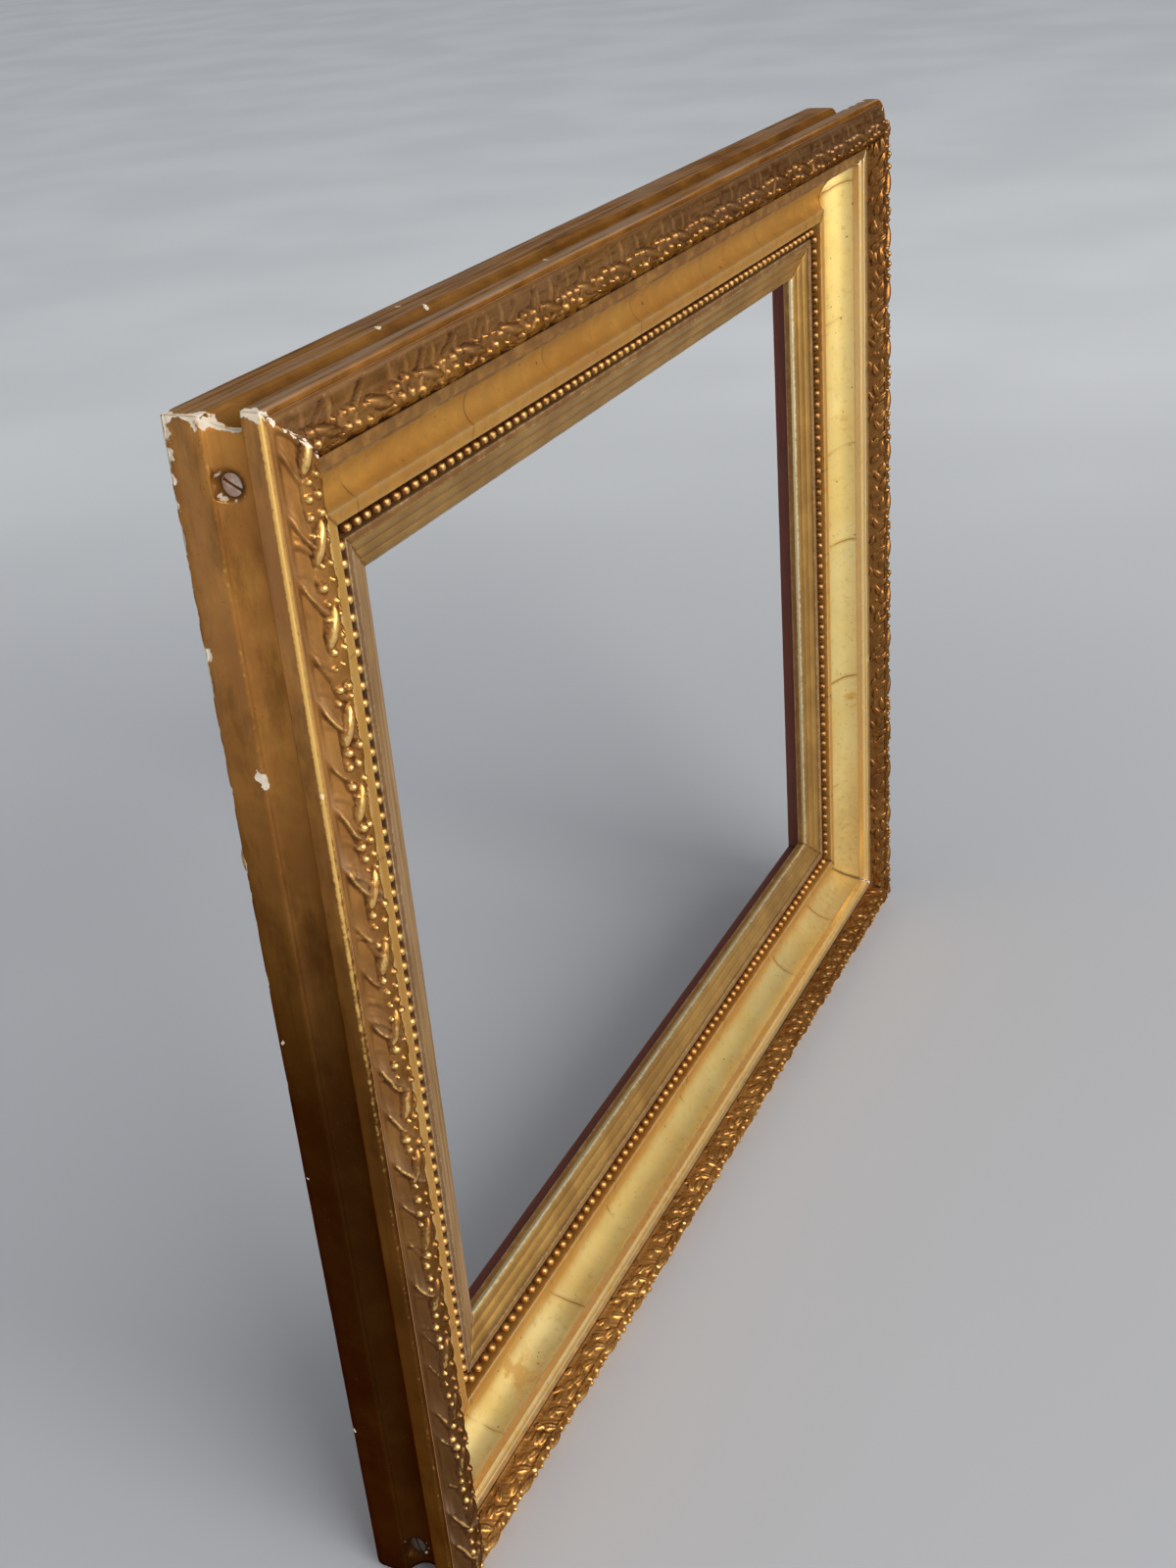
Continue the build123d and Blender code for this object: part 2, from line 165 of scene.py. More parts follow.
class Finish:
    """One material or sky under construction: node() adds a node, the rest are common recipes."""

    def __init__(self, name, blocks=bpy.data.materials, shader="Principled BSDF"):
        self.block = blocks.new(name)
        self.block.use_nodes = True
        self.tree = self.block.node_tree
        self.shader = self.tree.nodes[shader]

    def put(self, socket, value):
        """Links an output socket, or sets a plain number or colour."""
        if isinstance(value, bpy.types.NodeSocket):
            self.tree.links.new(value, socket)
        elif isinstance(value, tuple) and len(value) == 3 and socket.type == "RGBA":
            socket.default_value = (*value, 1.0)
        else:
            socket.default_value = value

    def node(self, kind, inputs=None, **settings):
        """Adds a shader node with its settings and inputs."""
        made = self.tree.nodes.new("ShaderNode" + kind)
        for key, value in settings.items():
            setattr(made, key, value)
        for key, value in (inputs or {}).items():
            self.put(made.inputs[key], value)
        return made

    def field(self, name):
        """A number stored on the mesh's vertices."""
        return self.node("Attribute", attribute_name=name).outputs["Fac"]

    def position(self):
        """The place on the part, in metres."""
        return self.node("TexCoord").outputs["Object"]

    def rail_position(self):
        """A place on the moulding: s along it and the way round the section, in metres."""
        parts = {"X": self.field("along"), "Y": self.field("across")}
        return self.node("CombineXYZ", parts).outputs[0]

    def noise(self, scale, detail=4.0, roughness=0.55, vector=None, stretch=None):
        """Noise from 0 to 1, with scale in cycles per metre, pulled out by stretch."""
        vector = vector or self.position()
        if stretch:
            vector = self.node("Mapping", {"Vector": vector, "Scale": stretch}).outputs[0]
        inputs = {"Vector": vector, "Scale": scale, "Detail": detail, "Roughness": roughness}
        return self.node("TexNoise", inputs).outputs["Fac"]

    def ramp(self, value, low, high, start=0.0, end=1.0):
        """A smooth step: start below low, end above high."""
        inputs = {"Value": value, "From Min": low, "From Max": high, "To Min": start, "To Max": end}
        return self.node("MapRange", inputs, interpolation_type="SMOOTHSTEP").outputs[0]

    def math(self, operation, a, b):
        """One operation on two numbers."""
        return self.node("Math", {0: a, 1: b}, operation=operation).outputs[0]

    def times(self, a, b):
        """The product of two numbers."""
        return self.math("MULTIPLY", a, b)

    def most(self, a, b):
        """The larger of two numbers."""
        return self.math("MAXIMUM", a, b)

    def swing(self, noise, reach):
        """Noise moved so that it swings about nought, from minus to plus half the reach."""
        return self.times(self.math("SUBTRACT", noise, 0.5), reach)

    def grime(self, least):
        """Where grime lies and shade is painted: the dirt field, thinned in clouds down to least of it.
        """
        return self.times(self.field("dirt_and_shade"), self.ramp(self.noise(150.0), 0.2, 0.6, least, 1.0))

    def flaked(self, reach):
        """Where the leaf is off: the chip field with ragged noise, cut sharply."""
        ragged = self.swing(self.noise(420.0, 4.0), reach)
        return self.ramp(self.math("ADD", self.field("chip"), ragged), 0.52, 0.62)

    def blend(self, share, a, b):
        """Colour a turning to colour b by share."""
        made = self.node("Mix", data_type="RGBA")
        self.put(made.inputs["Factor"], share)
        self.put(made.inputs[6], a)
        self.put(made.inputs[7], b)
        return made.outputs[2]

    def lerp(self, share, a, b):
        """Number a turning to number b by share."""
        made = self.node("Mix", data_type="FLOAT")
        self.put(made.inputs["Factor"], share)
        self.put(made.inputs[2], a)
        self.put(made.inputs[3], b)
        return made.outputs[0]

    def bump(self, height, strength, distance):
        """A small relief in the shading."""
        inputs = {"Height": height, "Strength": strength, "Distance": distance}
        return self.node("Bump", inputs).outputs[0]

    def finish(self, colour, roughness, metallic, normal=None):
        """Puts the recipe on the shader."""
        self.put(self.shader.inputs["Base Color"], colour)
        self.put(self.shader.inputs["Roughness"], roughness)
        self.put(self.shader.inputs["Metallic"], metallic)
        if normal is not None:
            self.put(self.shader.inputs["Normal"], normal)
        return self.block


print("recipes on", Finish.__name__)

# %% Sky and floor paper
BRIGHT_SIDE = (-0.60, -0.78, 0.18)
SKY_RAMP = {"From Min": -0.4, "From Max": 0.95, "To Min": 0.20, "To Max": 0.75}
sky = Finish("studio", bpy.data.worlds, "Background")
sky_way = sky.node("TexCoord").outputs["Generated"]
sky_towards = sky.node("VectorMath", {0: sky_way, 1: BRIGHT_SIDE}, operation="DOT_PRODUCT")
sky_level = sky.node("MapRange", {"Value": sky_towards.outputs["Value"], **SKY_RAMP})
sky.put(sky.shader.inputs["Strength"], sky_level.outputs[0])
sky.put(sky.shader.inputs["Color"], (0.97, 0.98, 1.0))
bpy.context.scene.world = sky.block

paper = Finish("floor_paper")
# The paper carries painted shade: darker near the frame, a painted shadow round it, paler behind.
paper_far = paper.node("VectorMath", {0: paper.position()}, operation="LENGTH").outputs["Value"]
paper_depth = paper.node("SeparateXYZ", {0: paper.position()}).outputs["Y"]
paper_behind = paper.ramp(paper_depth, -1.0, 0.2, 0.3, 1.0)
paper_painted_shade = paper.times(paper.ramp(paper_far, 0.2, 1.8), paper_behind)
paper_colour = paper.blend(paper_painted_shade, (0.53, 0.552, 0.592), (0.90, 0.935, 0.97))
paper_cloud = paper.ramp(paper.noise(3.0, 2.0, 0.3), 0.3, 0.7, 0.0, 0.2)
paper_colour = paper.blend(paper_cloud, paper_colour, (0.57, 0.592, 0.63))
# Painted shade well in front of the frame, under the lamps.
paper_front_painted_shade = paper.ramp(paper_depth, -2.6, -0.9, 1.0, 0.0)
paper_colour = paper.blend(paper_front_painted_shade, paper_colour, (0.25, 0.26, 0.28))
paper.shader.inputs["Specular IOR Level"].default_value = 0.1
floor_mesh.materials.append(paper.finish(paper_colour, 0.9, 0.0))
print("sky", sky.block.name, "floor finish", paper.block.name)

# %% [markdown]
# ## Gilding, new and worn
# Gold leaf lies on red clay and white gesso. Handling rubs the raised edges bright, grime settles
# in the hollows, whole rails are darker in tone, stains run along them, dust lies on what faces up,
# and a knock flakes the leaf off down to the white. The same numbers also paint light: the dirt
# numbers darken where shade falls as well as where grime lies, the edge numbers paint some
# highlights as rubbed gold, the dust numbers paint a pale sheen on leaf tips, and on the cove the
# tone numbers paint its reflection pale and its shade orange. Each moulding carries numbers for that
# on its vertices: edge, dirt, tone, dust and chip. The finishes mix their colours by those numbers
# with some noise, so the wear breaks up in a natural way. The stains come from noise alone.

# %% Gilded finishes
GESSO = (0.96, 0.91, 0.80)
CLAY = (0.20, 0.07, 0.03)
DUST_AND_SHEEN = (0.30, 0.205, 0.135)
OLD_GESSO = (0.60, 0.44, 0.26)
GLOSS = 0.15
METAL = 0.98


def gilded(name, gold, toned, aged, grime, rubbed, shine, streaks, stains, tint):
    """Worn gilding: clouded gold, aged and dusty by its fields, rubbed, grimy and chipped.

    The tint is the colour of the gloss at a glancing angle.
    """
    f = Finish(name)
    cloud = f.ramp(f.noise(38.0, 5.0), 0.35, 0.68)
    grain = f.noise(520.0, 3.0)
    streak = f.noise(60.0, 3.0, vector=f.rail_position(), stretch=(0.2, 8.0, 1.0))
    colour = f.blend(cloud, toned, gold)
    colour = f.blend(f.ramp(streak, 0.52, 0.75, 0.0, streaks), colour, toned)
    stain = f.noise(70.0, 6.0, 0.68, vector=f.rail_position(), stretch=(0.35, 1.0, 1.0))
    colour = f.blend(f.ramp(stain, 0.46, 0.66, 0.0, stains), colour, aged)
    # The tone numbers darken the colour towards the aged one: whole rails, and the left rail towards
    # its foot.
    old = f.times(f.field("tone"), f.ramp(f.noise(24.0, 5.0, 0.6), 0.25, 0.65, 0.93, 1.0))
    colour = f.blend(old, colour, aged)
    # The dust numbers lay the dust colour where dust settles, and on the leaf tips they paint a pale
    # sheen.
    dusty = f.times(f.field("dust"), f.ramp(streak, 0.36, 0.60, 0.25, 1.0))
    colour = f.blend(dusty, colour, DUST_AND_SHEEN)
    # The edge numbers rub the gold bright: wear, and on the left rail's buds a painted highlight as
    # well.
    worn = f.ramp(f.math("ADD", f.field("edge"), f.swing(grain, 0.9)), 0.34, 0.74)
    colour = f.blend(worn, colour, rubbed)
    # The grime colour goes where the dirt numbers lie: grime in the hollows, and painted shade.
    dull = f.grime(0.6)
    colour = f.blend(dull, colour, grime)
    speck = f.ramp(f.noise(900.0, 2.0), 0.70, 0.76, 0.0, 0.7)
    colour = f.blend(speck, colour, CLAY)
    chip = f.flaked(1.2)
    colour = f.blend(chip, colour, f.blend(f.noise(240.0), GESSO, OLD_GESSO))
    bare = f.most(dull, chip)
    rough = f.lerp(f.noise(90.0, 4.0), shine - 0.07, shine + 0.12)
    rough = f.lerp(f.most(bare, f.times(dusty, 0.7)), rough, 0.85)
    metal = f.lerp(f.most(bare, f.times(dusty, 0.85)), METAL, 0.0)
    height = f.math("SUBTRACT", f.times(grain, 0.35), chip)
    f.shader.inputs["Specular IOR Level"].default_value = GLOSS
    f.shader.inputs["Specular Tint"].default_value = (*tint, 1.0)
    return f.finish(colour, rough, metal, f.bump(height, 0.25, 0.0006))


outer_gilt = gilded(
    "outer_gilt", gold=(0.66, 0.300, 0.070), toned=(0.46, 0.195, 0.050), aged=(0.046, 0.0135, 0.0026),
    grime=(0.030, 0.011, 0.004), rubbed=(1.0, 0.61, 0.18), shine=0.38, streaks=0.45, stains=0.42,
    tint=(0.50, 0.30, 0.16),
)
leaf_gilt = gilded(
    "leaf_gilt", gold=(0.60, 0.285, 0.075), toned=(0.40, 0.175, 0.045), aged=(0.100, 0.045, 0.018),
    grime=(0.035, 0.012, 0.005), rubbed=(0.95, 0.58, 0.20), shine=0.25, streaks=0.0, stains=0.25,
    tint=(0.60, 0.40, 0.26),
)
bead_gilt = gilded(
    "bead_gilt", gold=(0.56, 0.250, 0.065), toned=(0.40, 0.165, 0.042), aged=(0.140, 0.060, 0.022),
    grime=(0.060, 0.018, 0.006), rubbed=(1.0, 0.62, 0.22), shine=0.30, streaks=0.0, stains=0.0,
    tint=(0.70, 0.50, 0.35),
)
slip_gilt = gilded(
    "slip_gilt", gold=(0.66, 0.385, 0.105), toned=(0.46, 0.250, 0.065), aged=(0.240, 0.130, 0.045),
    grime=(0.11, 0.040, 0.012), rubbed=(0.84, 0.70, 0.42), shine=0.33, streaks=0.55, stains=0.0,
    tint=(1.0, 1.0, 1.0),
)
print("finishes", outer_gilt.name, leaf_gilt.name, bead_gilt.name, slip_gilt.name)

# %% [markdown]
# ## The burnished cove
# The hollow was laid with square leaves of gold, rubbed smooth with a stone. Where two leaves
# overlap, a thin darker line runs across the hollow in a slight curve. The vertices carry the
# distance to the nearest such line, and the finish draws it by that distance.

# %% Cove finish


def burnished(name):
    """Burnished leaf: pale gold turning orange by tone, which paints reflection and shade, with lap
    lines, stains and dark specks.
    """
    f = Finish(name)
    cloud = f.ramp(f.noise(16.0, 6.0, 0.6), 0.34, 0.70)
    pale = f.blend(cloud, (0.95, 0.690, 0.230), (0.98, 0.79, 0.350))
    orange = f.blend(cloud, (0.74, 0.355, 0.058), (0.84, 0.450, 0.085))
    drift = f.swing(f.noise(42.0, 5.0), 0.55)
    # The tone numbers turn the pale gold orange: the pale paints the cove's bright reflection, the
    # orange its shade.
    colour = f.blend(f.ramp(f.math("ADD", f.field("tone"), drift), 0.05, 0.95), pale, orange)
    fine = f.noise(300.0, 4.0)
    colour = f.blend(f.ramp(fine, 0.52, 0.80, 0.0, 0.45), colour, (0.60, 0.35, 0.080))
    wobble = f.swing(f.noise(120.0, 4.0), 0.0022)
    lap = f.math("ABSOLUTE", f.math("ADD", f.field("lap"), wobble), 0.0)
    kept = f.ramp(f.noise(45.0), 0.36, 0.56)
    band = f.times(f.ramp(lap, 0.0004, 0.0024, 0.40, 0.0), kept)
    colour = f.blend(band, colour, (0.66, 0.34, 0.060))
    line = f.times(f.ramp(lap, 0.00010, 0.00060, 0.72, 0.0), kept)
    colour = f.blend(line, colour, (0.24, 0.10, 0.022))
    stain = f.ramp(f.noise(30.0, 6.0, 0.65, stretch=(1.0, 1.0, 1.6)), 0.60, 0.70, 0.0, 0.6)
    colour = f.blend(stain, colour, (0.42, 0.20, 0.035))
    speck = f.ramp(f.noise(420.0, 2.0), 0.71, 0.75, 0.0, 0.85)
    colour = f.blend(speck, colour, (0.10, 0.05, 0.02))
    # The edge numbers rub the gold pale; on the right and bottom rails' steps this is a painted
    # highlight.
    worn = f.times(f.field("edge"), f.ramp(fine, 0.30, 0.55))
    colour = f.blend(worn, colour, (0.95, 0.74, 0.38))
    # The grime colour goes where the dirt numbers lie: grime, and painted shade.
    dull = f.grime(0.7)
    colour = f.blend(dull, colour, (0.085, 0.03, 0.012))
    chip = f.flaked(1.1)
    colour = f.blend(chip, colour, GESSO)
    bare = f.most(dull, chip)
    rough = f.lerp(f.most(bare, stain), f.lerp(f.noise(55.0, 4.0), 0.34, 0.46), 0.75)
    metal = f.lerp(bare, METAL, 0.0)
    f.shader.inputs["Specular IOR Level"].default_value = GLOSS
    return f.finish(colour, rough, metal, f.bump(f.noise(110.0, 5.0), 0.10, 0.0010))


cove_gilt = burnished("cove_gilt")
print("finish", cove_gilt.name)

# %% [markdown]
# ## Bare wood, steel and brass
# Behind the gilding the rails are softwood, gone brown with age and streaked along the grain, and
# the rebate is brushed with red clay. The corner screws are dull steel under old toning, and the
# hangers are brass wire.

# %% Plain finishes


def bare_wood(name, early, late, grey):
    """Aged softwood: grain drawn out along the rail, with darker late wood and grey dust."""
    f = Finish(name)
    grain = f.noise(90.0, 6.0, 0.6, f.rail_position(), (0.35, 9.0, 1.0))
    rings = f.noise(420.0, 3.0, 0.5, f.rail_position(), (0.12, 2.2, 1.0))
    between = tuple(0.6 * a + 0.4 * b for a, b in zip(early, late))
    colour = f.blend(f.ramp(grain, 0.30, 0.70), between, early)
    colour = f.blend(f.ramp(rings, 0.52, 0.70, 0.0, 0.55), colour, late)
    colour = f.blend(f.ramp(f.noise(24.0, 5.0), 0.50, 0.75, 0.0, 0.4), colour, grey)
    return f.finish(colour, 0.72, 0.0, f.bump(grain, 0.35, 0.0008))


def toned_steel(name):
    """Dull steel with brown toning that has gathered in the hollows."""
    f = Finish(name)
    cloud = f.ramp(f.noise(330.0, 5.0), 0.36, 0.64)
    colour = f.blend(cloud, (0.66, 0.50, 0.42), (0.46, 0.31, 0.24))
    colour = f.blend(f.field("dirt_and_shade"), colour, (0.035, 0.018, 0.010))
    rough = f.lerp(cloud, 0.42, 0.65)
    return f.finish(colour, rough, f.lerp(cloud, 0.55, 0.15), f.bump(f.noise(700.0), 0.4, 0.0004))


def aged_brass(name):
    """Brass wire with brown tarnish in clouds."""
    f = Finish(name)
    cloud = f.ramp(f.noise(260.0, 5.0), 0.38, 0.68)
    colour = f.blend(cloud, (0.66, 0.45, 0.17), (0.30, 0.17, 0.06))
    return f.finish(colour, f.lerp(cloud, 0.26, 0.48), f.lerp(cloud, 1.0, 0.7))


wood = bare_wood("bare_wood", (0.40, 0.235, 0.115), (0.13, 0.058, 0.022), (0.30, 0.25, 0.20))
bole = bare_wood("rebate_bole", (0.20, 0.052, 0.032), (0.10, 0.026, 0.017), (0.16, 0.085, 0.06))
steel = toned_steel("screw_steel")
brass = aged_brass("brass_fitting")
print("finishes", wood.name, bole.name, steel.name, brass.name)

# %% [markdown]
# ## Sections with soft corners
# A drawn section has sharp corners, and a real moulding has none: gesso and years of dusting round
# them, and the light catches there. Each corner P becomes a quadratic curve between two points on
# its sides. Then the whole outline gets points at a steady step, wider apart on the bare wood.

# %% Section helper
CORNER_SHARES = np.linspace(0.0, 1.0, 5)
CORNER_MOST = 0.45
CORNER_HALF = 0.8
NUDGE = 0.001
CLOSING_GAP = 0.02
WEAR_REACH = 1.15
GILT = 0
WOOD = 1
THIRD = 2
WOOD_COARSE = 4


def curve_rows(start, end, bulge, count):
    """Gilt rows for section() on an arc that stands off its chord by bulge to its left, ends left out.

    With half chord c, the radius is (c * c + bulge * bulge) / (2 * bulge).
    """
    start = np.array(start, float)
    end = np.array(end, float)
    chord = end - start
    half = np.hypot(*chord) / 2
    left = np.array([-chord[1], chord[0]]) / (2 * half)
    radius = (half * half + bulge * bulge) / (2 * bulge)
    centre = (start + end) / 2 - left * (radius - bulge)
    first = np.arctan2(*(start - centre)[::-1])
    sweep = np.arctan2(*(end - centre)[::-1]) - first
    sweep = (sweep + np.pi) % (2 * np.pi) - np.pi
    angle = first + sweep * np.linspace(0.0, 1.0, count + 2)[1:-1]
    points = centre + abs(radius) * np.column_stack([np.cos(angle), np.sin(angle)])
    return np.column_stack([points, np.zeros(count), np.full(count, GILT)]).tolist()


def section(rows, step):
    """Closed outline, as columns, from rows of d, t, corner reach and finish, inside on the left.

    A corner P with neighbours A and B away along its sides becomes
    (1 - w)^2 A + 2 w (1 - w) P + w^2 B for w from 0 to 1. Flat bare wood gets a coarser step.
    """
    rows = np.array(rows, float)
    corner = rows[:, :2]
    before = np.roll(corner, 1, 0) - corner
    after = np.roll(corner, -1, 0) - corner
    long_before = np.hypot(*before.T)
    long_after = np.hypot(*after.T)
    reach = np.minimum(rows[:, 2], CORNER_MOST * np.minimum(long_before, long_after))
    a = corner + before * (reach / long_before)[:, None]
    b = corner + after * (reach / long_after)[:, None]
    w = CORNER_SHARES[None, :, None]
    curve = (1 - w) ** 2 * a[:, None] + 2 * w * (1 - w) * corner[:, None] + w**2 * b[:, None]
    kept = (reach[:, None] > 0) | (np.arange(len(CORNER_SHARES)) == 0)[None, :]
    points = curve[kept]
    row_of = np.repeat(np.arange(len(rows)), len(CORNER_SHARES)).reshape(kept.shape)[kept]
    ahead = np.roll(points, -1, 0) - points
    at = np.concatenate([[0.0], np.cumsum(np.hypot(*ahead.T))])
    even = np.arange(0.0, at[-1], step)
    on_wood = rows[row_of[np.searchsorted(at, even + NUDGE, side="right") - 1], 3] == WOOD
    even = even[~on_wood | (np.arange(len(even)) % WOOD_COARSE == 0)]
    walk = np.unique(np.concatenate([at, even]).round(2))
    walk = walk[walk < at[-1] - CLOSING_GAP]
    closed = np.vstack([points, points[:1]])
    d = np.interp(walk, at, closed[:, 0])
    t = np.interp(walk, at, closed[:, 1])
    segment = np.searchsorted(at, walk + NUDGE, side="right") - 1
    turn_sign = before[:, 1] * after[:, 0] - before[:, 0] * after[:, 1]
    first = np.searchsorted(row_of, np.arange(len(rows)))
    middle = at[first] + reach * CORNER_HALF
    gap = np.abs(walk[:, None] - middle[None, :])
    gap = np.minimum(gap, at[-1] - gap)
    nearness = np.exp(-((gap / WEAR_REACH) ** 2)) * (reach > 0)
    tangent = np.column_stack([np.roll(d, -1) - np.roll(d, 1), np.roll(t, -1) - np.roll(t, 1)])
    tangent /= np.hypot(*tangent.T)[:, None]
    values = {
        "d": d,
        "t": t,
        "out_d": tangent[:, 1],
        "out_t": -tangent[:, 0],
        "across": walk,
        "edge": (nearness * (turn_sign > 0)).max(1),
        "hollow": (nearness * (turn_sign < 0)).max(1),
        "finish": rows[row_of[segment], 3].astype(int),
    }
    return {key: column[:, None] for key, column in values.items()}


print("points per corner", len(CORNER_SHARES))

# %% [markdown]
# ## From arrays to a mesh
# A closed section carried along a side gives a tube of quads, and each mitre is closed by one flat
# face. The numbers for wear go in as vertex attributes.

# %% Mesh helpers
CORNER_RADIUS = 14.0
CORNER_FROM = 56.0
FINE_REACH = 8.0
FINE_STEP = 0.45
HALF_SIDE = 250.0


def smooth_step(x):
    """A share held between 0 and 1 and eased at both ends: x * x * (3 - 2 x)."""
    x = np.clip(x, 0.0, 1.0)
    return x * x * (3 - 2 * x)


def most(*fields):
    """The largest of several fields at each place."""
    return reduce(np.maximum, fields)


def put_piece(name, points, face_groups, materials, fields, body, nodes, finishes=None):
    """Makes one object from points and groups of equal-sided faces.

    The finishes number each face's material, which is the first one where they are left out.
    """
    mesh = bpy.data.meshes.new(name)
    corners = np.concatenate([group.ravel() for group in face_groups])
    sizes = np.concatenate([np.full(len(group), group.shape[1]) for group in face_groups])
    mesh.vertices.add(len(points))
    mesh.vertices.foreach_set("co", np.ascontiguousarray(points, np.float32).ravel())
    mesh.loops.add(len(corners))
    mesh.loops.foreach_set("vertex_index", corners.astype(np.int32))
    mesh.polygons.add(len(sizes))
    starts = np.concatenate([[0], np.cumsum(sizes)[:-1]])
    mesh.polygons.foreach_set("loop_start", starts.astype(np.int32))
    for material in materials:
        mesh.materials.append(material)
    if finishes is not None:
        mesh.polygons.foreach_set("material_index", finishes.astype(np.int32))
    mesh.polygons.foreach_set("use_smooth", sizes <= 4)
    for key, values in fields.items():
        layer = mesh.attributes.new(key, "FLOAT", "POINT")
        layer.data.foreach_set("value", np.ascontiguousarray(values, np.float32).ravel())
    mesh.update(calc_edges=True)
    mesh.validate()
    piece = bpy.data.objects.new(name, mesh)
    bpy.context.scene.collection.objects.link(piece)
    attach(piece, body)
    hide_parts(*nodes)
    return piece


def tube_faces(around, along):
    """Quads of a closed tube, and the two flat ends."""
    index = np.arange(around * along).reshape(around, along)
    ahead = np.roll(index, -1, 0)
    quads = np.stack([index[:, :-1], ahead[:, :-1], ahead[:, 1:], index[:, 1:]], -1).reshape(-1, 4)
    ends = np.stack([index[::-1, 0], index[:, -1]])
    return quads, ends


def ring_faces(rings, around):
    """Index of points in rings, the index one step round, and the quads between the rings."""
    index = np.arange(rings * around).reshape(rings, around)
    ahead = np.roll(index, -1, 1)
    quads = np.stack([index[:-1], index[1:], ahead[1:], ahead[:-1]], -1).reshape(-1, 4)
    return index, ahead, quads


def stations(side, step, extra=()):
    """Shares from -1 to 1 along a side, about step mm apart, with finer ones round extra places."""
    half = half_sight(side) + RAIL_WIDTH
    even = np.linspace(-1.0, 1.0, int(2 * half / step) + 1)
    near = np.arange(-FINE_REACH, FINE_REACH + 0.1, FINE_STEP)
    fine = [near / half + centre / half for centre in extra]
    return np.unique(np.concatenate([even, *fine]).clip(-1.0, 1.0).round(6))


def moulding(side, outline, shares, lift=0.0, sink=0.0):
    """Grid of a section along one side: s is share times (half sight + d - gap).

    Points move out along the section by lift, and straight in by sink.
    """
    d = outline["d"]
    s = shares[None, :] * (half_sight(side) + d - MITRE_GAP)
    moved_d = d + outline["out_d"] * lift - sink
    moved_t = outline["t"] + outline["out_t"] * lift
    pull, drop = worn_corner(side, s, d)
    return s, place(side, s - pull, moved_d - drop, moved_t)


def worn_corner(side, s, d):
    """How far the far top corner's rounding moves a point back along s, and in along d.

    The outline runs straight up to R short of the corner, then turns 45 degrees on a circle of R.
    """
    end = {"top": 1.0, "right": -1.0}.get(side, 0.0)
    share = smooth_step((d - CORNER_FROM) / (RAIL_WIDTH - CORNER_FROM))
    radius = np.maximum(CORNER_RADIUS * share, 0.01)
    past = np.clip(s * end - (half_sight(side) + d - radius), 0.0, radius)
    angle = past / radius * np.pi / 4
    return end * (past - radius * np.sin(angle)), radius * (1.0 - np.cos(angle))


def dust_field(side, outline):
    """How far each row of a section faces up, from 0 to 1."""
    outward = SIDES[side][0]
    return np.clip(outline["out_d"] * outward[2], 0.0, 1.0) ** 0.7


def put_moulding(name, outline, s, points, materials, fields, node):
    """One rail: its tube of quads, its mitre ends in bare wood, and its vertex numbers."""
    quads, ends = tube_faces(*s.shape)
    finishes = np.concatenate([np.repeat(outline["finish"], s.shape[1] - 1), np.full(2, WOOD)])
    common = {
        "along": s * MM,
        "across": outline["across"] * MM,
        "dust": np.zeros(1),
        "tone": np.zeros(1),
        "lap": np.ones(1),
    }
    values = {key: np.broadcast_to(value, s.shape) for key, value in {**common, **fields}.items()}
    flat = points.reshape(-1, 3)
    return put_piece(name, flat, [quads, ends], materials, values, "frame", [node], finishes)


def dress_sides(title, dress):
    """Dresses the four sides and prints how many faces each piece has."""
    print(title, [len(dress(side).data.polygons) for side in SIDES])


print("worn corner radius", CORNER_RADIUS)

# %% [markdown]
# ## Chips and craters
# The frame has been knocked: white gesso shows at the top left corner, along the back edge of the
# left side, and in a few small flakes. A chip is a cone of numbers, one at its middle and nought at
# its rim; the finish adds noise before it cuts, so the rim is ragged. Each corner screw sits in
# a small crater of broken gesso. A flake is listed by its place s, d and t and its radius. Darkening
# and rubbing are listed by where they start, how much they gain along the side, which way, and
# over what length: darkest at the foot of the left rail, most rubbing where a hand takes it.

# %% Wear fields
SCREW_RUNS = {"left": (212.1, -219.5), "right": (-212.1, 219.5)}
SCREW_HEIGHT = 18.8
SCREW_FACE_D = 66.9
CRATER_RIM = 5.3
CRATER_FLOOR = 3.8
FAR_AWAY = 99.0
FLAKE_SPREAD = 2.2
WAVE_RATES = (1.0, 1.7, 3.1)
FLAKES = {
    "left": [
        (121.0, 71.5, 13.8, 2.0), (117.5, 70.8, 14.5, 1.5), (160.0, 71.5, 1.5, 2.6),
        (20.0, 71.5, 3.0, 0.8), (228.0, 71.5, 1.5, 3.0), (221.0, 71.5, 1.2, 2.6),
        (214.0, 71.5, 1.0, 2.2), (206.0, 71.5, 0.8, 1.7), (-38.0, 71.5, 2.5, 0.7),
        (120.0, 75.0, 38.0, 0.9), (-160.0, 71.5, 2.0, 1.0),
    ],
    "top": [
        (-176.0, 71.3, 14.4, 1.3), (-147.0, 70.3, 14.5, 1.6), (-150.0, 71.5, 6.0, 1.2),
        (232.0, 75.0, 31.6, 2.0), (243.0, 75.0, 31.6, 2.2), (254.0, 75.0, 31.6, 2.4),
        (-95.0, 75.0, 33.0, 1.0),
    ],
    "right": [(-60.0, 71.5, 4.0, 2.0), (150.0, 71.5, 11.0, 2.2)],
    "bottom": [(80.0, 71.5, 4.0, 2.4), (-180.0, 75.0, 38.0, 1.8)],
}
STILL = (0.0, 1.0, 0.0, 1.0)
OUTER_DARKENING = {
    "left": (0.05, 0.93, -1.0, 178.0, 190.0),
    "top": (0.10, *STILL),
    "right": (0.35, *STILL),
    "bottom": (0.55, *STILL),
}
RUBBING = {
    "left": (0.30, 0.75, 1.0, 70.0, 250.0),
    "top": (0.24, *STILL),
    "right": (0.60, *STILL),
    "bottom": (0.60, *STILL),
}


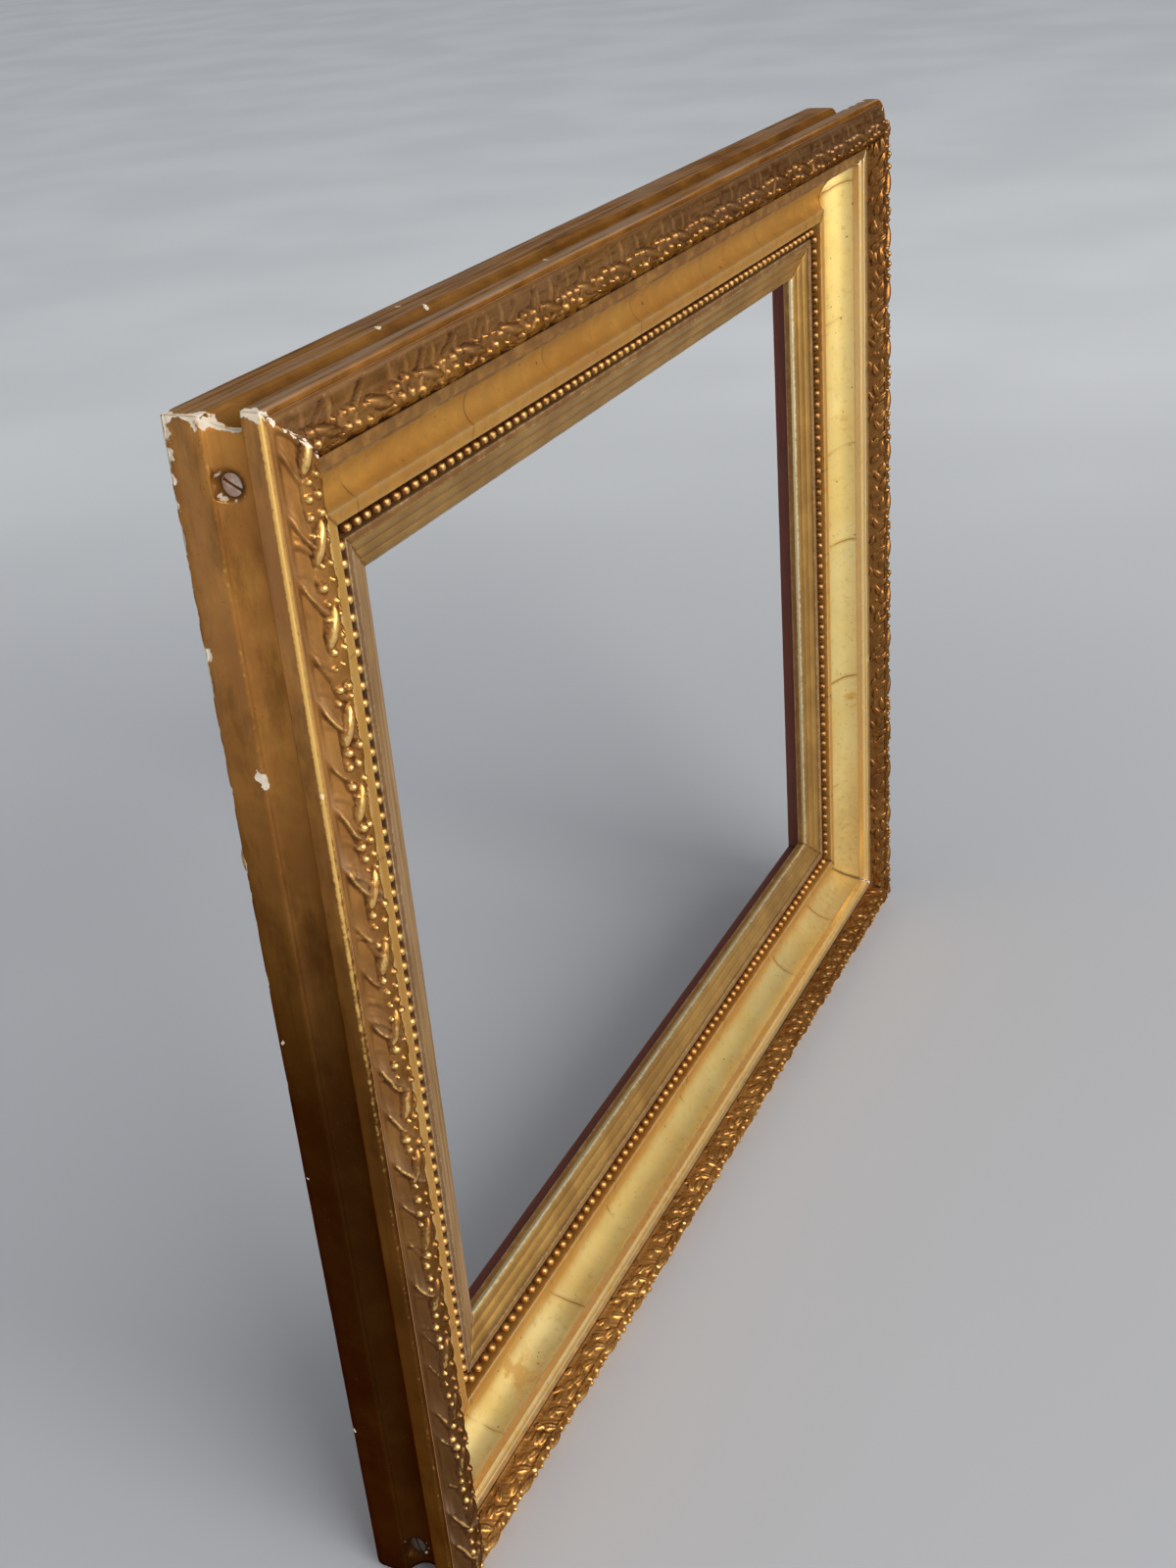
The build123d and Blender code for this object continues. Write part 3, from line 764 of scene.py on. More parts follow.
def bell(x, width):
    """A bump of height 1 at nought: exp(-(x / width)^2)."""
    return np.exp(-((x / width) ** 2))


def wander(s, period, seed):
    """A slow wave along the side: a sum of three sines with seeded phases, from -1 to 1."""
    phase = np.random.default_rng(seed).uniform(0.0, 2 * np.pi, 3)
    turns = 2 * np.pi * s / period
    return sum(np.sin(rate * turns + start) for rate, start in zip(WAVE_RATES, phase)) / 3


def flake_field(side, s, d, t):
    """Largest of the cones 1 - distance / (FLAKE_SPREAD * radius) round the listed flakes."""
    field = np.zeros(np.broadcast_shapes(s.shape, d.shape))
    for along, out, forward, radius in FLAKES[side]:
        away = np.sqrt((s - along) ** 2 + (d - out) ** 2 + (t - forward) ** 2)
        field = np.maximum(field, 1.0 - away / (FLAKE_SPREAD * radius))
    return field


def corner_field(side, s, d, t):
    """Chipping towards the top left mitre: widest at the back corner, then the nose and the fillet."""
    ends = {"left": 1.0, "top": -1.0}
    to_end = half_sight(side) + d - MITRE_GAP - s * ends.get(side, 1.0)
    near_back = bell(t, 4.0) * (d > 67.0)
    near_nose = bell(t - 14.5, 3.0) * (d > 66.0)
    near_edge = bell(t - 34.0, 5.0) * (d > 69.0)
    width = 1.0 + 4.6 * near_back + 3.0 * near_nose + 1.8 * near_edge
    if side not in ends:
        width = 0.5 + 1.2 * near_back + 0.6 * near_edge
        to_end = half_sight(side) + d - MITRE_GAP - np.abs(s)
    uneven = 0.22 * wander(t + 0.3 * s, 9.0, 8)
    return 1.0 + uneven - to_end / (2.0 * width)


def heel_field(side, s, d, t):
    """Nicks along the back edge: strongest by the top left corner, then fewer and fewer."""
    strength = {"left": 0.62, "top": 0.40}.get(side, 0.36)
    fade = np.clip((s + 60.0) / 280.0, 0.0, 1.0) if side == "left" else 0.5
    on_heel = bell(t - 0.9, 1.6) * (d > 69.6)
    return on_heel * (strength + 0.42 * wander(s, 37.0, 3)) * (0.40 + 0.80 * fade)


def crater_field(side, s, d, t):
    """Distance to the nearest corner screw's axis, in millimetres; far away on the other sides."""
    away = np.full(np.broadcast_shapes(s.shape, d.shape), FAR_AWAY)
    for run in SCREW_RUNS.get(side, ()):
        away = np.minimum(away, np.hypot(s - run, t - SCREW_HEIGHT))
    return np.where((d < 71.0) & (d > 66.0) & (t > 12.0), away, FAR_AWAY)


def along_rail(level, s):
    """A level along a side: start + gain * smooth_step((way * s + lead) / span)."""
    start, gain, way, lead, span = level
    return start + gain * smooth_step((way * s + lead) / span)


print("flakes", sum(len(places) for places in FLAKES.values()))

# %% [markdown]
# ## Outer rails
# The outer rail frames everything: two small steps and a narrow groove inside, the seat of the
# leaf strip, a square edge fillet, then a hollow side and a rounded band that meets the wall. Its
# back and its mitres are bare wood.

# %% Outer rails
SECTION_STEP = 1.1
BAND_OUT = 71.5
BAND_TOP = 14.6
SIDE_COVE = ((70.3, 15.4), (69.5, 31.3))
STEP_OUT = 53.0
OUTER_ROWS = [
    [COVE_OUT, 0.0, 0.3, WOOD],
    [BAND_OUT, 0.0, 3.4, GILT],
    [BAND_OUT, BAND_TOP, 1.4, GILT],
    [*SIDE_COVE[0], 0.6, GILT],
    *curve_rows(*SIDE_COVE, 3.0, 30),
    [*SIDE_COVE[1], 0.5, GILT],
    [RAIL_WIDTH, 31.3, 0.9, GILT],
    [RAIL_WIDTH, EDGE_TOP, 1.0, GILT],
    [LEAF_OUT, EDGE_TOP, 0.6, GILT],
    [LEAF_OUT, LEAF_SEAT, 0.0, GILT],
    [STEP_OUT, LEAF_SEAT, 0.25, GILT],
    [STEP_OUT, 35.3, 0.45, THIRD],
    [48.8, 35.3, 0.45, THIRD],
    [48.8, 33.5, 0.25, THIRD],
    [COVE_OUT, 33.5, 0.4, THIRD],
    [COVE_OUT, 30.2, 0.0, WOOD],
]
STEP_PAINTED_LIGHT = {"top": 0.85, "right": 0.0, "bottom": 0.35, "left": 0.5}
OUTER_RUN = 1.5
outer_outline = section(OUTER_ROWS, SECTION_STEP)


def dress_outer(side):
    """Outer rail: the section along one side, sunk round its screws and worn at its edges."""
    shares = stations(side, OUTER_RUN, SCREW_RUNS.get(side, ()))
    d = outer_outline["d"]
    t = outer_outline["t"]
    s = shares[None, :] * (half_sight(side) + d - MITRE_GAP)
    away = crater_field(side, s, d, t)
    dish = smooth_step((CRATER_RIM - away) / (CRATER_RIM - CRATER_FLOOR))
    sink = dish * np.maximum(d - SCREW_FACE_D + 0.25, 0.0)
    rim = (0.50 + 0.25 * wander(s + 2.0 * t, 7.0, 4)) * bell(away - 4.7, 0.9)
    chip = most(*[field(side, s, d, t) for field in (flake_field, corner_field, heel_field)], rim)
    lift = -0.5 * np.clip(chip - 0.45, 0.0, 0.6) + 0.05 * wander(s, 90.0, 5)
    s, points = moulding(side, outer_outline, shares, lift, sink)
    # Painted shade under the edge fillet, at the top of the side hollow.
    under = bell(t - 30.6, 1.5) * (d > 66.0) * (d < 72.0)
    quirk = 1.0 * (d > 52.8) * (d < 56.0) * (t < 34.9) * (t > 33.0)
    hollows = outer_outline["hollow"] * (t > 20.0)
    # Dark numbers: grime in the hollows, quirk and screw craters, and painted shade under the fillet.
    dirt_and_shade = most(0.85 * under, quirk, 0.75 * hollows, 0.75 * dish)
    reached = np.where(t > 33.0, 1.0, 0.33 * (t < 20.0))
    edge = outer_outline["edge"] * along_rail(RUBBING[side], s) * reached
    # The rail is darker by its darkening level, the left rail towards its foot, a little less on the
    # fillet.
    tone = along_rail(OUTER_DARKENING[side], s) * np.where((d > 71.9) & (t > 31.0), 0.80, 1.0)
    # The tone is lifted along the band's nose: a painted lit line.
    tone = tone * (1.0 - 0.55 * bell(t - 14.8, 1.3) * (d > 68.0) * (1.0 - tone))
    # The steps take a tone per rail: painted shade on the top rail, a painted pale reflection on the
    # right.
    tone = np.where(d > 60.0, tone, STEP_PAINTED_LIGHT[side])
    steps = (d < 54.0) & (t > 30.0)
    # On the top rail the steps are painted dark: painted shade under the rail.
    if side == "top":
        dirt_and_shade = np.maximum(dirt_and_shade, 0.88 * steps)
    # On the right and bottom rails the steps are painted fully rubbed, a painted highlight, and less
    # dark.
    if side in ("right", "bottom"):
        edge = np.where(steps, 1.0, edge)
        dirt_and_shade = np.where(steps & (d < 52.6), 0.3 * dirt_and_shade, dirt_and_shade)
    settled = np.where(t < BAND_TOP, 0.75, np.where(d > 73.5, 1.0, 0.12))
    dust = settled * dust_field(side, outer_outline) * (d > 60.0)
    # On the left rail dust pales the band and fillet, more towards the top as the rail gets darker
    # below.
    if side == "left":
        dust = 0.25 * (1.0 - tone) ** 3 * ((t < 14.0) | (d > 73.5)) * (d > 68.0) * (t < 38.0)
    fields = {"edge": edge, "dirt_and_shade": dirt_and_shade, "chip": chip, "tone": tone, "dust": dust}
    finishes = [outer_gilt, wood, cove_gilt]
    return put_moulding(
        f"{side}_outer_moulding", outer_outline, s, points, finishes, fields,
        f"{side}_outer_rail",
    )


dress_sides("outer rails", dress_outer)

# %% [markdown]
# ## Cove rails
# The cove is one deep hollow between a flat listel and the outer rail. Inside the listel is the
# channel for the beads, and behind it the wall of the rebate, brushed with red clay.

# %% Cove rails
LAP_PITCH = 68.0
LAP_COUNT = 40
PLAIN_RUN = 2.2
COVE_FOOT = (37.5, 17.8)
LISTEL_TOP = 21.2
CHANNEL_OUT = 23.0
COVE_ROWS = [
    [REBATE_OUT, 0.0, 0.2, WOOD],
    [COVE_OUT, 0.0, 0.2, WOOD],
    [COVE_OUT, 30.6, 0.5, GILT],
    *curve_rows((COVE_OUT, 30.6), COVE_FOOT, 1.9, 16),
    [*COVE_FOOT, 0.0, GILT],
    *curve_rows(COVE_FOOT, (28.0, LISTEL_TOP), 2.157, 12),
    [28.0, LISTEL_TOP, 0.4, GILT],
    [CHANNEL_OUT, LISTEL_TOP, 0.5, GILT],
    [CHANNEL_OUT, CHANNEL_FLOOR, 0.3, GILT],
    [SLIP_WIDTH, CHANNEL_FLOOR, 0.2, WOOD],
    [SLIP_WIDTH, SLIP_SEAT, 0.2, WOOD],
    [REBATE_OUT, SLIP_SEAT, 0.3, THIRD],
]
COVE_PAINTED_LIGHT = {"top": (0.92, 0.95), "right": (0.05, 0.80), "bottom": (0.30, 0.95), "left": (0.5, 0.9)}
cove_outline = section(COVE_ROWS, SECTION_STEP)


def lap_distance(s, across, seed):
    """Distance along s to the nearest lap line; a line bows across the hollow and jumps about."""
    jump = np.random.default_rng(seed).uniform(-13.0, 13.0, LAP_COUNT)
    lean = np.random.default_rng(seed + 1).uniform(-0.35, 0.35, LAP_COUNT)
    middle = LAP_COUNT // 2
    off = across - across.mean()
    bow = 5.5 * np.cos(np.pi * off / np.ptp(across))
    index = np.round(s / LAP_PITCH).astype(int)
    near = (index - 1, index, index + 1)
    lines = [s - (k * LAP_PITCH + jump[k + middle] + bow + lean[k + middle] * off) for k in near]
    lines = np.stack(lines)
    nearest = np.abs(lines).argmin(0)
    return np.take_along_axis(lines, nearest[None], 0)[0]


def cove_painted_light(side, d):
    """Share of orange in the gold, which paints light: all over under the top rail as painted shade,
    low down by the listel, and least high on the right rail, where the pale gold is a painted
    reflection.
    """
    low = smooth_step((40.5 - d) / 9.0)
    upper, lower = COVE_PAINTED_LIGHT[side]
    return upper + (lower - upper) * low


def dress_cove(side):
    """Cove rail: the section along one side, with lap lines across the hollow."""
    shares = stations(side, PLAIN_RUN)
    d = cove_outline["d"]
    t = cove_outline["t"]
    lift = 0.05 * wander(shares[None, :] * HALF_SIDE, 70.0, 11)
    s, points = moulding(side, cove_outline, shares, lift)
    seed = 20 + 3 * list(SIDES).index(side)
    lap = lap_distance(s, d, seed) * MM
    channel = 1.0 * (d < CHANNEL_OUT) * (d > 15.0) * (t < 20.4)
    # A dark band along the cove's top edge; on the top rail it is wide, painted shade under the rail.
    top_edge = bell(t - 30.6, 3.2 if side == "top" else 0.9) * (d > 43.0)
    to_end = half_sight(side) + d - np.abs(s)
    hollows = 0.5 * cove_outline["hollow"]
    dirt_and_shade = most(channel, hollows, 0.75 * top_edge, 0.8 * bell(to_end, 0.7))
    low = smooth_step((36.0 - d) / 6.0)
    # The top rail's whole cove is painted darker: painted shade under the rail.
    if side == "top":
        dirt_and_shade = np.maximum(dirt_and_shade, 0.50 + 0.10 * low)
    # On the right and bottom rails the cove is a little darker low down, and painted shade dims the
    # bright spot by the bottom right mitre.
    if side in ("right", "bottom"):
        hot_spot_shade = smooth_step(((s if side == "right" else -s) - half_sight(side) + 55.0) / 60.0)
        dirt_and_shade = most(dirt_and_shade, 0.22 * low, 0.45 * hot_spot_shade)
    chip = 0.36 - to_end / 5.0
    edge = 0.4 * cove_outline["edge"]
    fields = {"edge": edge, "dirt_and_shade": dirt_and_shade, "chip": chip, "lap": lap, "tone": cove_painted_light(side, d)}
    return put_moulding(
        f"{side}_cove_moulding", cove_outline, s, points, [cove_gilt, wood, bole], fields,
        f"{side}_cove_rail",
    )


dress_sides("cove rails", dress_cove)

# %% [markdown]
# ## Sight slips
# The slip lies in front of the picture's edge: three fine reeds that rise away from the opening
# and a narrow flat crown beside the beads.

# %% Sight slips
SLIP_STEPS = np.column_stack([np.linspace(13.0, 0.0, 4), np.linspace(17.20625, 12.9, 4)])
REED_BULGE = -0.7
SLIP_STEP = 0.9
SLIP_TOP = 18.2
SLIP_ROWS = [
    [0.0, 9.0, 0.2, WOOD],
    [REBATE_OUT, 9.0, 0.1, WOOD],
    [REBATE_OUT, SLIP_SEAT, 0.1, WOOD],
    [SLIP_WIDTH, SLIP_SEAT, 0.1, GILT],
    [SLIP_WIDTH, SLIP_TOP, 0.3, GILT],
    [13.0, SLIP_TOP, 0.3, GILT],
]
for reed, rounding in enumerate((0.15, 0.0, 0.0)):
    SLIP_ROWS.append([*SLIP_STEPS[reed], rounding, GILT])
    SLIP_ROWS += curve_rows(SLIP_STEPS[reed], SLIP_STEPS[reed + 1], REED_BULGE, 7)
SLIP_ROWS.append([*SLIP_STEPS[3], 0.5, GILT])
SLIP_TONES = {"top": 0.2, "left": 0.4}
SLIP_DUST = {"left": 0.70}
slip_outline = section(SLIP_ROWS, SLIP_STEP)


def dress_slip(side):
    """Sight slip: reeds along one side, grimy between them and rubbed pale at the sight edge."""
    shares = stations(side, PLAIN_RUN)
    d = slip_outline["d"]
    t = slip_outline["t"]
    lift = 0.04 * wander(shares[None, :] * HALF_SIDE, 60.0, 31)
    s, points = moulding(side, slip_outline, shares, lift)
    valleys = bell(d[..., None] - SLIP_STEPS[1:3, 0], 0.35).max(-1) * (t > 11.5)
    crown = smooth_step((d - 12.3) / 0.6) * (t > 12.0)
    inside = smooth_step((12.0 - t) / 0.7)
    on_crown = 0.84 if side == "top" else 0.72
    to_end = half_sight(side) + d - np.abs(s)
    dirt_and_shade = most(0.85 * valleys, on_crown * crown, 0.8 * inside, 0.8 * bell(to_end, 0.5))
    sight = 0.75 * bell(d, 1.2) * (t > 12.0)
    edge = np.maximum(sight, 0.6 * slip_outline["edge"])
    tone = np.full(1, SLIP_TONES.get(side, 0.0))
    dust = np.full(1, SLIP_DUST.get(side, 0.0))
    fields = {"edge": edge, "dirt_and_shade": dirt_and_shade, "chip": np.zeros(1), "tone": tone, "dust": dust}
    return put_moulding(
        f"{side}_reeded_slip", slip_outline, s, points, [slip_gilt, wood], fields,
        f"{side}_sight_slip",
    )


dress_sides("sight slips", dress_slip)

# %% [markdown]
# ## Laurel relief
# The ornament is a strip of pressed composition, a running branch of laurel. Smooth leaves lap over
# each other down the outer slope, with thin raised edges that slant in to the crest, and small
# leaves lie on the inner wall. Beside the crest lie long buds, and between them clusters of
# berries. It is a height field on the strip's own section: p runs back along the side and q out
# from the crest. A row of lapped leaves is a saw tooth, because each leaf rises to its edge and
# drops to the next one below it. No two are alike, so seeded numbers move each leaf and berry a
# little and change its strength.

# %% Leaf relief
UNIT = 28.0
GROUND = -0.8
OUTER_SLANT = 1.44
OUTER_FOOT = 13.5
SMALL_SLANT = 0.85
BUD_TILT = 0.30
BUD_OUT = 4.1
MARK_COUNT = 49
LEAF_DROP = 1.5
LEAF_SHADE = 4.5
LARGE_RISE = 1.5
LARGE_LEAST = 0.4
SMALL_RISE = 0.6
SMALL_LEAST = 0.0
VEIN_SLANT = 2.3
VEIN_PITCH = 3.1
BERRIES = np.array([
    (7.6, 5.4, 1.65, 1.8), (13.2, 6.1, 1.75, 1.9), (18.8, 5.5, 1.6, 1.75), (6.8, 1.5, 1.6, 1.6),
    (12.6, 2.1, 1.6, 1.7), (18.2, 1.6, 1.6, 1.6), (23.6, 5.6, 1.15, 1.3), (22.8, 1.0, 1.2, 1.3),
])
INNER_LEAVES = np.array([
    (2.0, -2.6, 4.0, 1.7, 0.55, 0.8), (7.5, -5.6, 3.4, 1.5, 0.10, 0.7),
    (12.0, -2.4, 4.2, 1.6, 0.80, 0.8), (16.5, -6.0, 3.4, 1.6, -0.30, 0.7),
    (21.0, -2.8, 4.0, 1.7, 0.30, 0.8), (26.0, -6.2, 3.2, 1.5, 0.60, 0.6),
    (4.5, -8.4, 2.8, 1.2, -0.20, 0.5), (18.5, -8.6, 3.0, 1.2, 0.25, 0.5),
])


def dome(u, v):
    """Half an ellipsoid: the square root of 1 - u^2 - v^2, and nought outside."""
    return np.sqrt(np.clip(1.0 - u * u - v * v, 0.0, 1.0))


def uneven_marks(pitch, wobble, seed):
    """Places along a side: even steps of pitch, each moved by a seeded share of wobble."""
    steps = (np.arange(MARK_COUNT) - MARK_COUNT // 2) * pitch
    return steps + np.random.default_rng(seed).uniform(-wobble, wobble, MARK_COUNT)


def lapped_leaves(c, marks, rise, weakest, seed):
    """Cupped saw tooth between marks: a share to the power 1.7 that falls back within the drop.

    A thin raised edge lies just before each mark with a vein behind it, and a crack just after it.
    The painted shadow under each edge dies away as exp(-distance / LEAF_SHADE), and the last share is a
    painted sheen growing towards each edge.
    """
    strength = np.random.default_rng(seed).uniform(weakest, 1.05, MARK_COUNT)
    k = np.clip(np.searchsorted(marks, c) - 1, 0, MARK_COUNT - 2)
    before = c - marks[k]
    to_next = marks[k + 1] - c
    share = np.clip(before / (marks[k + 1] - marks[k]), 0.0, 1.0)
    fall = smooth_step(before / LEAF_DROP)
    body = rise * (strength[k + 1] * share**1.7 * fall + strength[k] * (1.0 - fall))
    margin = 0.17 * rise * bell(to_next - 0.6, 0.5)
    vein = 0.10 * rise * (bell(to_next - 3.0, 0.5) - bell(to_next - 2.1, 0.5))
    crack = 0.15 * rise * bell(before - LEAF_DROP, 0.5)
    shade = strength[k] * np.exp(-before / LEAF_SHADE) * smooth_step(before / 0.6)
    height = body + strength[k + 1] * (margin + vein) - strength[k] * crack
    return height, shade, strength[k + 1] * share


def small_leaf(u, v, length, width, height):
    """A dome drawn out along u and tapering to its tip, with a groove down its middle."""
    taper = width * (1.0 - 0.4 * np.clip(u / length, -1.0, 1.0))
    return height * dome(u / length, v / taper) * (1.0 - 0.35 * bell(v, 0.3 * width))


def neighbours(p, marks):
    """Index of the marks before and after each p, with the distance past each."""
    k = np.clip(np.searchsorted(marks, p), 1, MARK_COUNT - 1)
    return [(k - 1, p - marks[k - 1]), (k, p - marks[k])]


def leaf_relief(s, q, seed):
    """Height of the ornament in mm over the section, with painted shadow, painted sheen and buds from 0
    to 1.

    The highest of the lapped leaves, lobe, bud, small leaves and berries shows at each place.
    """
    p = -s
    rng = np.random.default_rng(seed + 30)
    from_foot = OUTER_FOOT - q
    slant = OUTER_SLANT + 0.35 * wander(p, 71.0, seed + 5)
    bow = 2.0 + 1.3 * wander(p, 43.0, seed + 6)
    large_c = p - slant * from_foot - bow * np.sin(np.pi * from_foot / 11.0)
    small_c = p - SMALL_SLANT * from_foot + 1.5 * np.sin(np.pi * from_foot / 9.0)
    large_marks = uneven_marks(UNIT * 2 / 3, 3.4, seed)
    outer, shade, pale = lapped_leaves(large_c, large_marks, LARGE_RISE, LARGE_LEAST, seed + 1)
    small_marks = uneven_marks(UNIT / 2.4, 3.0, seed + 2)
    small, small_shade, _ = lapped_leaves(small_c, small_marks, SMALL_RISE, SMALL_LEAST, seed + 3)
    veins = np.cos(2 * np.pi * (p - VEIN_SLANT * from_foot) / VEIN_PITCH)
    veins = veins * (1.0 + wander(p, 13.0, seed + 7))
    outer = (outer + small + 0.03 * veins) * (0.5 + 0.5 * smooth_step((13.2 - q) / 3.0))
    shade = np.maximum(shade, 0.6 * small_shade) * smooth_step((q + 0.5) / 2.0)
    inner = 0.12 * np.cos(2 * np.pi * (0.80 * p - 0.60 * q) / 1.9)
    inner = inner * (1.0 + wander(p - q, 11.0, seed + 4))
    relief = GROUND + inner + (outer - inner) * smooth_step((q + 1.6) / 3.2)
    leaves = relief
    buds = np.zeros(relief.shape)
    jitter = rng.uniform(-1.0, 1.0, (MARK_COUNT, len(BERRIES), 3))
    stray = rng.uniform(-1.0, 1.0, (MARK_COUNT, len(INNER_LEAVES), 4))
    for k, past in neighbours(p, uneven_marks(UNIT, 2.0, seed + 20)):
        lobe = GROUND + 1.2 * dome((past - 13.0) / 10.4, (q - 3.4) / 4.4) ** 0.6
        relief = np.maximum(relief, lobe)
        u = past * np.cos(BUD_TILT) + (q - BUD_OUT) * np.sin(BUD_TILT)
        v = (q - BUD_OUT) * np.cos(BUD_TILT) - past * np.sin(BUD_TILT)
        bud = dome(u / 7.4, v / 2.0)
        relief = np.maximum(relief, GROUND + (1.9 - GROUND) * bud)
        buds = np.maximum(buds, bud)
        for b, (along, out, length, width, tilt, height) in enumerate(INNER_LEAVES):
            aside = stray[k, b]
            lean = tilt + 0.60 * aside[..., 2]
            away = past - along - 1.8 * aside[..., 0]
            up = q - out - 0.8 * aside[..., 1]
            u = away * np.cos(lean) + up * np.sin(lean)
            v = up * np.cos(lean) - away * np.sin(lean)
            tall = height + 0.3 * aside[..., 3] + 0.4
            relief = np.maximum(relief, GROUND + small_leaf(u, v, length, width, tall))
        for b, (along, out, radius, height) in enumerate(BERRIES):
            aside = jitter[k, b]
            reach = radius * (1.0 + 0.18 * aside[..., 2]) * np.where(aside[..., 0] < -0.55, 0.55, 1.0)
            ball_u = (past - along - 1.0 * aside[..., 0]) / reach
            ball_v = (q - out - 0.8 * aside[..., 1]) / reach
            ball_top = height * (1.0 + 0.20 * aside[..., 2]) - GROUND
            relief = np.maximum(relief, GROUND + ball_top * dome(ball_u, ball_v))
    open_leaf = relief < leaves + 0.03
    return relief, shade * open_leaf, pale * open_leaf, buds


def blurred(grid, reach):
    """Mean over a square of 2 * reach + 1 steps each way, from running sums."""
    count = 2 * reach + 1
    for axis in (0, 1):
        margins = [(reach + 1, reach) if axis == which else (0, 0) for which in (0, 1)]
        sums = np.cumsum(np.pad(grid, margins, mode="edge"), axis)
        size = grid.shape[axis]
        ahead = np.take(sums, np.arange(size) + count, axis)
        grid = (ahead - np.take(sums, np.arange(size), axis)) / count
    return grid


print("berries and inner leaves per unit", len(BERRIES), len(INNER_LEAVES))

# %% [markdown]
# ## Leaf strips
# The strip's section gets fine rows and the relief lifts them. The wear follows from the relief:
# what stands above its surroundings is rubbed bright, and what lies below them holds grime. The
# relief also paints light: a painted shadow under each leaf edge and a painted pale sheen on the tips.

# %% Leaf strips
LEAF_STEP = 0.48
LEAF_FOOT = (54.4, LEAF_SEAT)
LEAF_EDGE = (LEAF_OUT, EDGE_TOP)
LEAF_CREST = (58.5, 43.5)
LEAF_ROWS = [
    [*LEAF_FOOT, 0.0, WOOD],
    [LEAF_OUT, LEAF_SEAT, 0.0, WOOD],
    [*LEAF_EDGE, 0.0, GILT],
    *curve_rows(LEAF_EDGE, LEAF_CREST, -1.1, 8),
    [*LEAF_CREST, 3.0, GILT],
    *curve_rows(LEAF_CREST, LEAF_FOOT, -0.9, 6),
]
LEAF_DARKENING = {
    "left": (0.0, 0.85, -1.0, 150.0, 330.0),
    "top": (0.2, 0.45, 1.0, 250.0, 450.0),
    "right": (0.58, *STILL),
    "bottom": (0.0, 0.45, -1.0, 150.0, 350.0),
}
LEAF_SHADES = {"left": 0.85, "top": 0.7, "right": 0.4, "bottom": 0.4}
BUD_WEAR_AND_HIGHLIGHT = (0.0, 0.75, 1.0, 60.0, 250.0)
leaf_outline = section(LEAF_ROWS, LEAF_STEP)
CREST_AT = leaf_outline["across"][np.argmax(leaf_outline["t"]), 0]
from_edge = np.hypot(leaf_outline["d"] - LEAF_OUT, leaf_outline["t"] - EDGE_TOP)
OUTER_AT = leaf_outline["across"][np.argmin(from_edge), 0]
INNER_AT = leaf_outline["across"].max()


def dress_leaves(side):
    """Leaf strip: relief along one side, bright where it stands proud and dark where it lies deep."""
    shares = stations(side, LEAF_STEP)
    d = leaf_outline["d"]
    q = CREST_AT - leaf_outline["across"]
    s = shares[None, :] * (half_sight(side) + d - MITRE_GAP)
    relief, shade, pale, buds = leaf_relief(s, q, 50 + 100 * list(SIDES).index(side))
    from_foot = CREST_AT - OUTER_AT - q
    shown = leaf_outline["across"] >= OUTER_AT
    fade = smooth_step((from_foot - 0.8) / 1.6) * smooth_step((q - CREST_AT + INNER_AT) / 1.2) * shown
    lift = relief * fade
    s, points = moulding(side, leaf_outline, shares, lift)
    proud = lift - blurred(lift, 4)
    to_end = half_sight(side) + d - np.abs(s)
    deep = np.clip((-proud - 0.04) / 0.38, 0.0, 1.0)
    # Dark numbers: grime in the deep parts, at the mitres and along the foot, and a painted shadow
    # under each leaf edge.
    dirt_and_shade = most(deep, bell(to_end, 0.6), LEAF_SHADES[side] * shade) * fade
    dirt_and_shade = np.maximum(dirt_and_shade, 0.6 * bell(from_foot - 0.3, 0.4) * shown)
    high = 0.62 * np.clip((proud - 0.05) / 0.42, 0.0, 1.0)
    # On the left rail the buds are rubbed bright, more towards the top, which also paints their
    # highlights.
    if side == "left":
        bud_wear_and_highlight = along_rail(BUD_WEAR_AND_HIGHLIGHT, s) * smooth_step((buds - 0.55) / 0.4)
        high = np.maximum(high, bud_wear_and_highlight)
    chip = np.zeros(s.shape)
    if side in ("left", "top"):
        end = 1.0 if side == "left" else -1.0
        to_corner = half_sight(side) + d - s * end
        chip = 0.66 + 0.25 * wander(q, 8.0, 6) - to_corner / 4.0
    # Dust lies on what faces up; on the leaf tips the same numbers paint a pale sheen, most on the left
    # rail.
    facing_up = 0.5 * dust_field(side, leaf_outline) * (q > 2.0)
    painted_sheen = (0.65 if side == "left" else 0.40) * pale**2 * (q > 1.0)
    dust = np.maximum(facing_up, painted_sheen)
    # The strip is darker towards the left rail's foot and towards the right ends of the top and bottom
    # rails.
    tone = along_rail(LEAF_DARKENING[side], s)
    # Off the slope the rubbed gold is dimmed where the strip is darker; on the top rail's slope it is
    # dimmed most, as painted shade.
    on_slope = smooth_step((q - 3.5) / 2.5)
    bright = 1.0 - 0.75 * tone + on_slope * (0.75 * tone + (-0.7 if side == "top" else 0.15))
    fields = {"edge": high * bright, "dirt_and_shade": 0.95 * dirt_and_shade, "chip": chip, "tone": tone, "dust": dust}
    return put_moulding(
        f"{side}_laurel_strip", leaf_outline, s, points, [leaf_gilt, wood], fields,
        f"{side}_leaf_strip",
    )


dress_sides("leaf strips", dress_leaves)

# %% [markdown]
# ## Bead rows
# A row of small balls sits in the channel on a thin base. One ball is a coarse sphere of a few
# dozen faces, shaded smooth, and the row is that sphere moved to each place at once.

